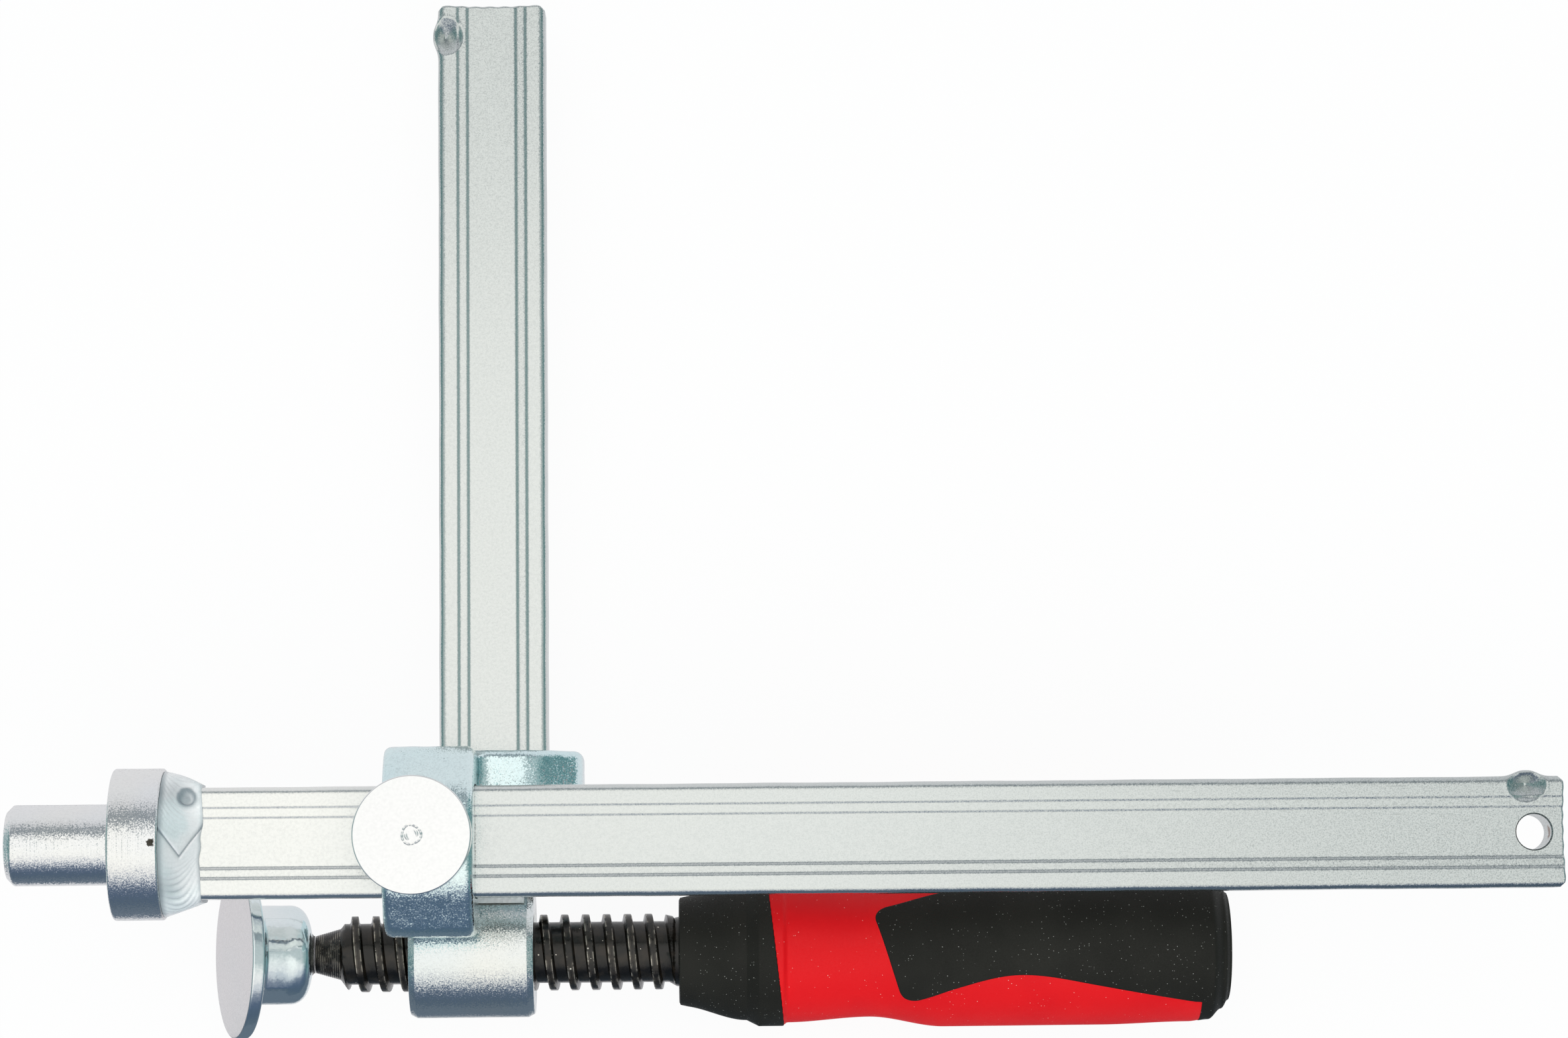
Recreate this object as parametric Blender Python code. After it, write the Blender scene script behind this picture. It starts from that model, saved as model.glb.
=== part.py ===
"""Variable throat clamp for a table with 16 mm holes, modelled as an assembly.

The clamp lies flat.  +X runs along the main rail away from the table pin, +Y runs
along the throat rail away from the screw, and +Z points up, out of the rails' faces.
The origin is the centre of the pin's end face.  All sizes are metres and degrees.
"""

import math

import bmesh
import bpy

# Running and seat gaps
SEAT_GAP = 0.0003            # between pieces that touch on the real clamp
OVERRUN = 0.001              # how far a cutter runs past the face that it opens
JOIN_SINK = 0.0003           # how far two shapes reach into each other before they are united

# Round pieces
FINE_SEGMENTS = 64
ROUND_SEGMENTS = 48
SMALL_SEGMENTS = 32
CORNER_STEPS = 4
SMOOTH_ANGLE = 32.0

# Fluted rail section, the same for both rails
RAIL_WIDTH = 0.022
RAIL_THICKNESS = 0.0105
RAIL_CORNER = 0.0015
RAIL_FLANGE = 0.0043
FLUTE_SLOPE = 0.0019
FLUTE_DEPTH = 0.0009
FLUTE_SLOPE_STEPS = 4

# Main rail
MAIN_RAIL_LENGTH = 0.2767
HANG_HOLE_DIAMETER = 0.007
HANG_HOLE_INSET = 0.006
MAIN_STAKE_INSET = 0.0074

# Throat rail
THROAT_RAIL_LENGTH = 0.1812
THROAT_STAKE_INSET = 0.0065

# Staked stop: a conical punch mark that pushes the rail's edge outwards
STAKE_FROM_EDGE = 0.0015
STAKE_DEPTH = 0.0028
STAKE_HALF_LENGTH = 0.0042
STAKE_OUTWARD = 0.0024
STAKE_INWARD = 0.0038
BULGE_HALF_LENGTH = 0.0048
BULGE_PROUD = 0.00135
BULGE_HEIGHT = 0.0062
BULGE_DROP = 0.0002
BULGE_LOW_INSET = 0.0005     # how far inside the edge the bulge's lower oval stays

# Table pin and its seat collar
PIN_DIAMETER = 0.016
PIN_LENGTH = 0.0211
PIN_CHAMFER_LENGTH = 0.0015
PIN_CHAMFER_DEPTH = 0.0013
COLLAR_DIAMETER = 0.030
COLLAR_LENGTH = 0.010
COLLAR_EDGE = 0.0005

# Weld between collar and main rail
PIN_WELD_LENGTH = 0.0075
PIN_WELD_RIM = 0.0006        # how far the weld starts inside the collar's edge
PIN_WELD_LIP = 0.0006        # how proud of the rail it ends
PIN_WELD_STEPS = 5

# Cross slider: two sleeves at right angles in one forging
SLIDER_FROM_COLLAR = 0.0434
SLEEVE_LENGTH = 0.0173
FRONT_SLEEVE_SPAN = 0.0377
REAR_SLEEVE_SPAN = 0.0362
SLOT_CLEARANCE = 0.0003
SLOT_CORNER = 0.0013
FRONT_WALL = 0.0082
BACK_WALL = 0.0050
SLEEVE_LAND = 0.017          # flat on the crown of a sleeve
SLEEVE_SHOULDER = 0.0082     # how far the crown falls to the sleeve's ends
CROWN_RADIUS = 0.011
SHOULDER_RADIUS = 0.0055
BACK_RADIUS = 0.0032
SLEEVE_EDGE = 0.0015
WEB_FILLET = 0.0035
WEB_FILLET_STEPS = 6
WEB_INSET = 0.0008
WEB_DEPTH = 0.0075
THROAT_OFFSET = 0.0120       # throat rail's axis from the middle of the front sleeve
SLEEVE_TOP_STEP = 0.0002     # how much lower the rear sleeve's top is

# Disc on its stud, in the slider's front wall
DISC_DIAMETER = 0.0232
DISC_THICKNESS = 0.0046
DISC_EDGE = 0.0003
STUD_DIAMETER = 0.010
STUD_EDGE = 0.0004
DISC_ASIDE = 0.0023
DISC_RAISE = 0.0010
PUNCH_DIAMETER = 0.0036
PUNCH_DEPTH = 0.0003

# Nut barrel and its welds
NUT_DIAMETER = 0.026
NUT_LENGTH = 0.0258
NUT_CHAMFER_LENGTH = 0.0015
NUT_CHAMFER_DEPTH = 0.0011
NUT_BORE_CHAMFER = 0.0008
NUT_ASIDE = 0.0048           # nut's middle from the throat rail's axis
NUT_CLEARANCE = 0.00045      # between the barrel and the plane of the front sleeve's back
NUT_WELD_LEG = 0.0034
NUT_WELD_REACH = 0.0032
NUT_WELD_INSET = 0.0012
NUT_WELD_BULGE = 0.0003
NUT_WELD_STEPS = 5

# Screw spindle
SPINDLE_DIAMETER = 0.0157
BALL_TO_NUT = 0.0243
BALL_TO_HANDLE = 0.0793
BALL_DIAMETER = 0.013
NECK_DIAMETER = 0.0076
BALL_NECK_LENGTH = 0.0002    # how far the ball's own neck reaches out of the ball
CONE_FROM_NECK = 0.00015
CONE_LENGTH = 0.0049
CONE_END_DIAMETER = 0.0104
THREAD_LEAD_IN = 0.0019
TANG_DIAMETER = 0.0118
TANG_LENGTH = 0.052
TANG_CHAMFER = 0.0008
BALL_STEPS = 12

# Swivel pad
PAD_DIAMETER = 0.0337
PAD_RIM = 0.0026
PAD_FLANGE = 0.0035
PAD_EDGE = 0.0004
PAD_HUB_DIAMETER = 0.020
PAD_HUB_ROOT = 0.0012
PAD_FACE_TO_BALL = 0.0112
PAD_HUB_CRIMP = 0.0030       # length over which the hub's end is turned in
PAD_HUB_LIP_DIAMETER = 0.0142
PAD_MOUTH_DIAMETER = 0.0117
PAD_TILT = 18.8
PAD_COLLAR_CLEARANCE = 0.0007
SOCKET_STEPS = 7
CRIMP_STEPS = 4

# Two-component handle; stations are shares of its length, radii of its largest radius
HANDLE_LENGTH = 0.1115
HANDLE_RADIUS = 0.0158
WAIST_SHARES = ((0.000, 0.700), (0.122, 0.890), (0.144, 0.972), (0.186, 0.968), (0.196, 0.930),
                (0.345, 0.867), (0.480, 1.000), (0.765, 0.997), (0.925, 0.965))
END_SHARES = ((0.962, 0.935), (0.986, 0.800), (0.998, 0.690))
BODY_ROWS = 12
COLLAR_STATION_SHARE = 0.175
COLLAR_SLANT = 0.110         # how far the collar's rear edge runs back for each step down
SOFT_SKIN = 0.0020
COLLAR_FRONT_WALL = 0.0030
COLLAR_TAPER_STATION_SHARE = 0.122
COLLAR_LAND_STATION_SHARE = 0.144
GRIP_END_WALL = 0.0022

# Grip panels: (share of the handle's length, degrees round from the top, towards -Y)
UPPER_EDGE_SHARES = ((0.346, -36.0), (0.473, -46.2), (0.610, -59.0), (0.765, -66.0), (0.942, -62.0))
LOWER_EDGE_SHARES = ((0.404, 49.5), (0.493, 32.0), (0.612, 20.7), (0.755, 29.8), (0.942, 49.0))
PANEL_TIP_SHARE = 0.942
PANEL_CORNER = 0.0028
PANEL_COUNT = 2
PANEL_COLUMNS = 14
WINDOW_COLUMNS = 8
PANEL_ROWS = 12

# Places that follow from the sizes above
COLLAR_BACK = PIN_LENGTH + COLLAR_LENGTH
SLIDER_MIDDLE = COLLAR_BACK + SLIDER_FROM_COLLAR + SLEEVE_LENGTH / 2
HALF_SLOT = RAIL_THICKNESS / 2 + SLOT_CLEARANCE
FRONT_CROWN = HALF_SLOT + FRONT_WALL
SLEEVE_BACK = HALF_SLOT + BACK_WALL
RAIL_SPACING = SLEEVE_BACK + NUT_CLEARANCE + NUT_DIAMETER / 2
REAR_CROWN = RAIL_SPACING - SLEEVE_BACK + JOIN_SINK
REAR_SLEEVE_MIDDLE = FRONT_SLEEVE_SPAN / 2 - SLEEVE_TOP_STEP - SLEEVE_LENGTH / 2
PASSING_DISTANCE = COLLAR_DIAMETER / 2 + PAD_DIAMETER / 2 + PAD_COLLAR_CLEARANCE
SCREW_DROP = math.sqrt(PASSING_DISTANCE ** 2 - RAIL_SPACING ** 2)
NUT_BORE_RADIUS = SPINDLE_DIAMETER / 2 + SEAT_GAP


def material(name, colour, roughness, metallic):
    """One finish: a Principled surface with its colour, roughness and metallic value."""
    finish = bpy.data.materials.new(name)
    finish.use_nodes = True
    shader = finish.node_tree.nodes["Principled BSDF"]
    shader.inputs["Base Color"].default_value = (*colour, 1.0)
    shader.inputs["Roughness"].default_value = roughness
    shader.inputs["Metallic"].default_value = metallic
    return finish


def frame(name, parent, location):
    """An empty that carries the pieces of one moving group."""
    empty = bpy.data.objects.new(name, None)
    bpy.context.collection.objects.link(empty)
    empty.parent = parent
    empty.location = location
    return empty


def solid(name, mesh_work, parent, location=(0, 0, 0), turn=(0, 0, 0), finish=None):
    """Turns edited mesh data into an object on its parent, shaded smooth between sharp edges."""
    bmesh.ops.recalc_face_normals(mesh_work, faces=mesh_work.faces)
    mesh = bpy.data.meshes.new(name)
    mesh_work.to_mesh(mesh)
    mesh_work.free()
    mesh.shade_smooth()
    mesh.set_sharp_from_angle(angle=math.radians(SMOOTH_ANGLE))
    piece = bpy.data.objects.new(name, mesh)
    bpy.context.collection.objects.link(piece)
    piece.parent = parent
    piece.location = location
    piece.rotation_euler = [math.radians(angle) for angle in turn]
    if finish is None:
        piece.hide_render = True
        piece.display_type = "WIRE"
    else:
        mesh.materials.append(finish)
    return piece


def combine(piece, other, operation):
    """Adds a Boolean of the piece with a hidden shape."""
    step = piece.modifiers.new(other.name, "BOOLEAN")
    step.operation = operation
    step.solver = "EXACT"
    step.object = other


def round_edges(piece, width, segments):
    """Rounds the sharp edges of a piece and leaves its smooth curves alone."""
    step = piece.modifiers.new("edges", "BEVEL")
    step.width = width
    step.segments = segments
    step.limit_method = "ANGLE"
    step.angle_limit = math.radians(SMOOTH_ANGLE)


def rounded(corners):
    """An outline with arcs at its corners, given as (across, up, radius)."""
    outline = []
    count = len(corners)
    for index, (across, up, radius) in enumerate(corners):
        before = corners[index - 1]
        after = corners[(index + 1) % count]
        into = math.atan2(before[1] - up, before[0] - across)
        out = math.atan2(after[1] - up, after[0] - across)
        opening = (out - into + math.pi) % math.tau - math.pi
        half = abs(opening) / 2
        reach = radius / math.tan(half)
        middle = into + opening / 2
        centre_across = across + math.cos(middle) * radius / math.sin(half)
        centre_up = up + math.sin(middle) * radius / math.sin(half)
        first = math.atan2(up + math.sin(into) * reach - centre_up,
                           across + math.cos(into) * reach - centre_across)
        last = math.atan2(up + math.sin(out) * reach - centre_up,
                          across + math.cos(out) * reach - centre_across)
        sweep = (last - first + math.pi) % math.tau - math.pi
        for step in range(CORNER_STEPS + 1):
            angle = first + sweep * step / CORNER_STEPS
            outline.append((centre_across + radius * math.cos(angle),
                            centre_up + radius * math.sin(angle)))
    return outline


def bar(outline, start, end, along="X"):
    """A straight bar with the given section, between two places along X or Y."""
    work = bmesh.new()

    def place(across, up, reach):
        return (reach, across, up) if along == "X" else (across, reach, up)

    near = [work.verts.new(place(across, up, start)) for across, up in outline]
    far = [work.verts.new(place(across, up, end)) for across, up in outline]
    work.faces.new(near)
    work.faces.new(list(reversed(far)))
    for index in range(len(outline)):
        after = (index + 1) % len(outline)
        work.faces.new((near[index], near[after], far[after], far[index]))
    return work


def skin(rings, closed_loop=False):
    """Joins rings of points with faces; a ring of one point is a pole on the axis."""
    work = bmesh.new()
    rows = [[work.verts.new(point) for point in ring] for ring in rings]
    pairs = list(zip(rows, rows[1:]))
    if closed_loop:
        pairs.append((rows[-1], rows[0]))
    for near, far in pairs:
        count = max(len(near), len(far))
        for index in range(count):
            after = (index + 1) % count
            if len(near) == 1:
                work.faces.new((near[0], far[index], far[after]))
            elif len(far) == 1:
                work.faces.new((near[index], near[after], far[0]))
            else:
                work.faces.new((near[index], near[after], far[after], far[index]))
    return work


def ring(station, radius, segments, slant=0.0):
    """Points round the X axis; a slanted ring runs back as it goes down."""
    if radius == 0:
        return [(station, 0.0, 0.0)]
    points = []
    for index in range(segments):
        angle = math.tau * index / segments
        side = radius * math.sin(angle)
        points.append((station - slant * side, side, radius * math.cos(angle)))
    return points


def turned(profile, segments, closed_loop=False):
    """A body turned about the X axis from (station, radius) pairs."""
    return skin([ring(station, radius, segments) for station, radius in profile], closed_loop)


def rail_outline(grow=0.0):
    """Half flutes and rounded corners of the rail's section, grown by a gap for a cutter."""
    half_width = RAIL_WIDTH / 2 + grow
    half_thick = RAIL_THICKNESS / 2 + grow
    flange_end = RAIL_WIDTH / 2 - RAIL_FLANGE
    quarter = []
    for step in range(CORNER_STEPS + 1):
        angle = math.radians(90.0) * step / CORNER_STEPS
        quarter.append((half_width - RAIL_CORNER + RAIL_CORNER * math.cos(angle),
                        half_thick - RAIL_CORNER + RAIL_CORNER * math.sin(angle)))
    for step in range(FLUTE_SLOPE_STEPS + 1):
        share = step / FLUTE_SLOPE_STEPS
        ease = share * share * (3 - 2 * share)
        quarter.append((flange_end - FLUTE_SLOPE * share, half_thick - FLUTE_DEPTH * ease))
    mirrored = [(-across, up) for across, up in reversed(quarter)]
    upper = quarter + mirrored
    return upper + [(-across, -up) for across, up in upper]


def oval_ring(centre_along, centre_across, half_length, outward, inward, height):
    """Points of an oval in a rail's face, with unlike reach towards and away from the edge."""
    points = []
    for index in range(SMALL_SEGMENTS):
        angle = math.tau * index / SMALL_SEGMENTS
        reach = outward if math.sin(angle) > 0 else inward
        points.append((centre_along + half_length * math.cos(angle),
                       centre_across + reach * math.sin(angle), height))
    return points


def fluted_rail(name, length, stake_inset, parent, location, turn, finish):
    """A rail along its own X axis, with the staked stop near its free end."""
    rail = solid(name, bar(rail_outline(), 0.0, length), parent, location, turn, finish)
    face = RAIL_THICKNESS / 2
    along = length - stake_inset
    across = RAIL_WIDTH / 2 - STAKE_FROM_EDGE
    top_reach = STAKE_FROM_EDGE + BULGE_PROUD
    low_reach = STAKE_FROM_EDGE - BULGE_LOW_INSET
    low_share = low_reach / top_reach
    top = face - BULGE_DROP
    bulge = skin([[(along, across, top - BULGE_HEIGHT)],
                  oval_ring(along, across, BULGE_HALF_LENGTH * low_share, low_reach, low_reach,
                            top - BULGE_HEIGHT),
                  oval_ring(along, across, BULGE_HALF_LENGTH, top_reach, top_reach, top),
                  [(along, across, top)]])
    combine(rail, solid(name + "_bulge", bulge, parent, location, turn), "UNION")
    open_scale = 1 + OVERRUN / STAKE_DEPTH
    mark = skin([[(along, across, face - STAKE_DEPTH)],
                 oval_ring(along, across, STAKE_HALF_LENGTH * open_scale, STAKE_OUTWARD * open_scale,
                           STAKE_INWARD * open_scale, face + OVERRUN),
                 [(along, across, face + OVERRUN)]])
    combine(rail, solid(name + "_stake", mark, parent, location, turn), "DIFFERENCE")
    return rail


def main_rail(parent, finish):
    """The main rail, butted on the collar, with its hang hole."""
    start = COLLAR_BACK + SEAT_GAP
    rail = fluted_rail("main_rail", MAIN_RAIL_LENGTH, MAIN_STAKE_INSET, parent, (start, 0, 0),
                       (0, 0, 0), finish)
    reach = RAIL_THICKNESS / 2 + OVERRUN
    bore = turned([(-reach, 0), (-reach, HANG_HOLE_DIAMETER / 2), (reach, HANG_HOLE_DIAMETER / 2),
                   (reach, 0)], SMALL_SEGMENTS)
    hole = solid("hang_hole", bore, parent,
                 (start + MAIN_RAIL_LENGTH - HANG_HOLE_INSET, 0, 0), (0, -90.0, 0))
    combine(rail, hole, "DIFFERENCE")


def table_pin(parent, finish):
    """Pin and seat collar, turned from one bar."""
    pin = PIN_DIAMETER / 2
    collar = COLLAR_DIAMETER / 2
    profile = [(0, 0), (0, pin - PIN_CHAMFER_DEPTH), (PIN_CHAMFER_LENGTH, pin), (PIN_LENGTH, pin),
               (PIN_LENGTH, collar - COLLAR_EDGE), (PIN_LENGTH + COLLAR_EDGE, collar),
               (COLLAR_BACK - COLLAR_EDGE, collar), (COLLAR_BACK, collar - COLLAR_EDGE),
               (COLLAR_BACK, 0)]
    solid("table_pin", turned(profile, FINE_SEGMENTS), parent, finish=finish)


def outline_reach(outline, angle):
    """How far a ray from the middle goes before it leaves the outline."""
    side = math.sin(angle)
    up = math.cos(angle)
    farthest = 0.0
    for index, (side_a, up_a) in enumerate(outline):
        side_b, up_b = outline[(index + 1) % len(outline)]
        run_side = side_b - side_a
        run_up = up_b - up_a
        cross = side * run_up - up * run_side
        if cross == 0:
            continue
        share = (up * side_a - side * up_a) / cross
        reach = (side_a * run_up - up_a * run_side) / cross
        if 0 <= share <= 1 and reach > farthest:
            farthest = reach
    return farthest


def pin_weld(parent, finish):
    """Weld bead that runs from the collar's round edge down to the rail's section."""
    start = COLLAR_BACK + SEAT_GAP
    section = rail_outline()
    rim = COLLAR_DIAMETER / 2 - PIN_WELD_RIM
    rings = [[(start, 0.0, 0.0)]]
    for step in range(PIN_WELD_STEPS + 1):
        share = step / PIN_WELD_STEPS
        ease = share * (1.5 - 0.5 * share)
        points = []
        for index in range(FINE_SEGMENTS):
            angle = math.tau * index / FINE_SEGMENTS
            end = outline_reach(section, angle) + PIN_WELD_LIP
            radius = rim + (end - rim) * ease
            points.append((start + PIN_WELD_LENGTH * share, radius * math.sin(angle),
                           radius * math.cos(angle)))
        rings.append(points)
    rings.append([(start + PIN_WELD_LENGTH, 0.0, 0.0)])
    weld = solid("pin_weld", skin(rings), parent, finish=finish)
    passage = bar(rail_outline(SEAT_GAP), start - OVERRUN, start + PIN_WELD_LENGTH + OVERRUN)
    combine(weld, solid("pin_weld_passage", passage, parent), "DIFFERENCE")


def sleeve_outline(span, crown, back):
    """Section of a sleeve: a flat back, rounded ends and an arched crown with a flat land."""
    half = span / 2
    land = SLEEVE_LAND / 2
    shoulder = crown - SLEEVE_SHOULDER
    return rounded([(-half, -back, BACK_RADIUS), (half, -back, BACK_RADIUS),
                    (half, shoulder, SHOULDER_RADIUS), (land, crown, CROWN_RADIUS),
                    (-land, crown, CROWN_RADIUS), (-half, shoulder, SHOULDER_RADIUS)])


def slot_outline():
    """Opening for a rail, with running clearance all round."""
    half_width = RAIL_WIDTH / 2 + SLOT_CLEARANCE
    return rounded([(-half_width, -HALF_SLOT, SLOT_CORNER), (half_width, -HALF_SLOT, SLOT_CORNER),
                    (half_width, HALF_SLOT, SLOT_CORNER), (-half_width, HALF_SLOT, SLOT_CORNER)])


def cross_slider(parent, finish):
    """The forging: front sleeve, rear sleeve at right angles and the filleted web between."""
    half_length = SLEEVE_LENGTH / 2
    front = solid("cross_slider", bar(sleeve_outline(FRONT_SLEEVE_SPAN, FRONT_CROWN, SLEEVE_BACK),
                                      -half_length, half_length), parent, finish=finish)
    round_edges(front, SLEEVE_EDGE, 3)
    rear_place = (THROAT_OFFSET, REAR_SLEEVE_MIDDLE, -RAIL_SPACING)
    rear = solid("rear_sleeve", bar(sleeve_outline(REAR_SLEEVE_SPAN, REAR_CROWN, SLEEVE_BACK),
                                    -half_length, half_length, "Y"), parent, rear_place)
    round_edges(rear, SLEEVE_EDGE, 3)
    combine(front, rear, "UNION")

    low = -SLEEVE_BACK
    fillet_right = half_length + WEB_FILLET
    web = [(-half_length + WEB_INSET, low - WEB_DEPTH), (-half_length + WEB_INSET, low + JOIN_SINK)]
    for step in range(WEB_FILLET_STEPS + 1):
        angle = math.radians(90.0) * step / WEB_FILLET_STEPS
        web.append((fillet_right - WEB_FILLET * math.cos(angle) - JOIN_SINK,
                    low + JOIN_SINK + WEB_FILLET * (1 - math.sin(angle))))
    web.append((fillet_right - JOIN_SINK, low - JOIN_SINK * 2))
    web.append((half_length, low - WEB_DEPTH))
    web_half = half_length - WEB_INSET
    web_body = solid("slider_web", bar(web, -web_half, web_half, "Y"), parent,
                     (0, REAR_SLEEVE_MIDDLE, 0))
    combine(front, web_body, "UNION")

    reach = FRONT_SLEEVE_SPAN
    main_slot = solid("main_slot", bar(slot_outline(), -reach, reach), parent)
    combine(front, main_slot, "DIFFERENCE")
    throat_slot = solid("throat_slot", bar(slot_outline(), -reach, reach, "Y"), parent, rear_place)
    combine(front, throat_slot, "DIFFERENCE")
    bore_radius = STUD_DIAMETER / 2 + SEAT_GAP
    bore = turned([(0, 0), (0, bore_radius), (FRONT_CROWN, bore_radius), (FRONT_CROWN, 0)],
                  SMALL_SEGMENTS)
    stud_bore = solid("stud_bore", bore, parent, (-DISC_ASIDE, DISC_RAISE, HALF_SLOT - OVERRUN),
                      (0, -90.0, 0))
    combine(front, stud_bore, "DIFFERENCE")


def stud_disc(parent, finish):
    """Flat disc with a stud that ends just short of the rail, punched in the middle."""
    stud = STUD_DIAMETER / 2
    disc = DISC_DIAMETER / 2
    punch = PUNCH_DIAMETER / 2
    stud_end = HALF_SLOT + SEAT_GAP
    under = FRONT_CROWN + SEAT_GAP
    face = under + DISC_THICKNESS
    profile = [(stud_end, 0), (stud_end, stud - STUD_EDGE), (stud_end + STUD_EDGE, stud), (under, stud),
               (under, disc - DISC_EDGE), (under + DISC_EDGE, disc), (face - DISC_EDGE, disc),
               (face, disc - DISC_EDGE), (face, punch), (face - PUNCH_DEPTH, 0)]
    solid("stud_disc", turned(profile, FINE_SEGMENTS), parent, (-DISC_ASIDE, DISC_RAISE, 0),
          (0, -90.0, 0), finish)


def nut_weld(name, side, parent, finish):
    """One fillet bead between the rail's face and the nut barrel, on the given side."""
    barrel = NUT_DIAMETER / 2 + SEAT_GAP
    wall = RAIL_THICKNESS / 2 + SEAT_GAP
    start_angle = math.asin(wall / barrel)
    end_angle = math.asin((wall + NUT_WELD_REACH) / barrel)
    section = [(wall, barrel + NUT_WELD_LEG)]
    for step in range(NUT_WELD_STEPS + 1):
        angle = start_angle + (end_angle - start_angle) * step / NUT_WELD_STEPS
        section.append((barrel * math.sin(angle), barrel * math.cos(angle)))
    toe_out, toe_up = section[-1]
    for step in range(1, NUT_WELD_STEPS):
        share = step / NUT_WELD_STEPS
        swell = NUT_WELD_BULGE * math.sin(math.pi * share)
        section.append((toe_out + (wall - toe_out) * share + swell,
                        toe_up + (barrel + NUT_WELD_LEG - toe_up) * share + swell))
    outline = [(up, side * out) for out, up in section]
    left = max(-RAIL_WIDTH / 2, -NUT_ASIDE - NUT_LENGTH / 2 + NUT_CHAMFER_LENGTH) + NUT_WELD_INSET
    right = min(RAIL_WIDTH / 2, -NUT_ASIDE + NUT_LENGTH / 2 - NUT_CHAMFER_LENGTH) - NUT_WELD_INSET
    solid(name, bar(outline, left, right), parent, finish=finish)


def throat_pieces(parent, finish):
    """Throat rail, the nut barrel across its lower end and their two welds."""
    nut_radius = NUT_DIAMETER / 2
    fluted_rail("throat_rail", THROAT_RAIL_LENGTH, THROAT_STAKE_INSET, parent,
                (0, nut_radius + SEAT_GAP, 0), (0, 0, 90.0), finish)
    half = NUT_LENGTH / 2
    profile = [(-half, NUT_BORE_RADIUS + NUT_BORE_CHAMFER), (-half, nut_radius - NUT_CHAMFER_DEPTH),
               (-half + NUT_CHAMFER_LENGTH, nut_radius), (half - NUT_CHAMFER_LENGTH, nut_radius),
               (half, nut_radius - NUT_CHAMFER_DEPTH), (half, NUT_BORE_RADIUS + NUT_BORE_CHAMFER),
               (half - NUT_BORE_CHAMFER, NUT_BORE_RADIUS), (-half + NUT_BORE_CHAMFER, NUT_BORE_RADIUS)]
    solid("spindle_nut", turned(profile, FINE_SEGMENTS, True), parent, (-NUT_ASIDE, 0, 0),
          finish=finish)
    nut_weld("nut_weld_front", 1, parent, finish)
    nut_weld("nut_weld_rear", -1, parent, finish)


def ball_end(parent, finish):
    """The ball and the start of its neck, about the ball's centre."""
    ball = BALL_DIAMETER / 2
    neck = NECK_DIAMETER / 2
    neck_angle = math.asin(neck / ball)
    profile = []
    for step in range(BALL_STEPS + 1):
        angle = math.pi - (math.pi - neck_angle) * step / BALL_STEPS
        profile.append((ball * math.cos(angle), ball * math.sin(angle) if step else 0))
    neck_end = ball * math.cos(neck_angle) + BALL_NECK_LENGTH
    profile.append((neck_end, neck))
    profile.append((neck_end, 0))
    solid("ball_end", turned(profile, SMALL_SEGMENTS), parent, finish=finish)
    return neck_end


def spindle(parent, neck_end, finish):
    """The screw: neck, turned cone, threaded length as a plain rod and the tang in the handle."""
    neck = NECK_DIAMETER / 2
    rod = SPINDLE_DIAMETER / 2
    tang = TANG_DIAMETER / 2
    start = neck_end + SEAT_GAP
    cone_start = start + CONE_FROM_NECK
    cone_end = cone_start + CONE_LENGTH
    rod_start = cone_end + THREAD_LEAD_IN
    rod_end = BALL_TO_HANDLE + COLLAR_FRONT_WALL
    tang_end = rod_end + TANG_LENGTH
    profile = [(start, 0), (start, neck), (cone_start, neck), (cone_end, CONE_END_DIAMETER / 2),
               (rod_start, rod), (rod_end - SEAT_GAP, rod), (rod_end - SEAT_GAP, tang),
               (tang_end - TANG_CHAMFER, tang), (tang_end, tang - TANG_CHAMFER), (tang_end, 0)]
    solid("spindle", turned(profile, ROUND_SEGMENTS), parent, finish=finish)


def pressure_pad(parent, finish):
    """Swivel pad about the ball's centre, its flat face towards -X before it is tilted."""
    rim = PAD_DIAMETER / 2
    hub = PAD_HUB_DIAMETER / 2
    face = -PAD_FACE_TO_BALL
    socket = BALL_DIAMETER / 2 + SEAT_GAP
    lip = PAD_HUB_LIP_DIAMETER / 2
    mouth = PAD_MOUTH_DIAMETER / 2
    mouth_angle = math.asin(mouth / socket)
    hub_end = socket * math.cos(mouth_angle)
    crimp_start = hub_end - PAD_HUB_CRIMP
    profile = [(face, 0), (face, rim - PAD_EDGE), (face + PAD_EDGE, rim), (face + PAD_RIM, rim),
               (face + PAD_FLANGE, hub + PAD_HUB_ROOT), (face + PAD_FLANGE + PAD_HUB_ROOT, hub)]
    for step in range(CRIMP_STEPS + 1):
        angle = math.radians(90.0) * step / CRIMP_STEPS
        profile.append((crimp_start + PAD_HUB_CRIMP * math.sin(angle),
                        lip + (hub - lip) * math.cos(angle)))
    for step in range(SOCKET_STEPS + 1):
        angle = mouth_angle + (math.pi - mouth_angle) * step / SOCKET_STEPS
        last = step == SOCKET_STEPS
        profile.append((socket * math.cos(angle), 0 if last else socket * math.sin(angle)))
    solid("pressure_pad", turned(profile, ROUND_SEGMENTS), parent, (0, 0, 0), (0, PAD_TILT, 0),
          finish)


def handle_radius(share):
    """Radius of the handle at a share of its length, eased from one station to the next."""
    stations = WAIST_SHARES + END_SHARES
    for (near, near_radius), (far, far_radius) in zip(stations, stations[1:]):
        if share <= far:
            part = max(0.0, (share - near) / (far - near))
            ease = part * part * (3 - 2 * part)
            return HANDLE_RADIUS * (near_radius + (far_radius - near_radius) * ease)
    return HANDLE_RADIUS * stations[-1][1]


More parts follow.
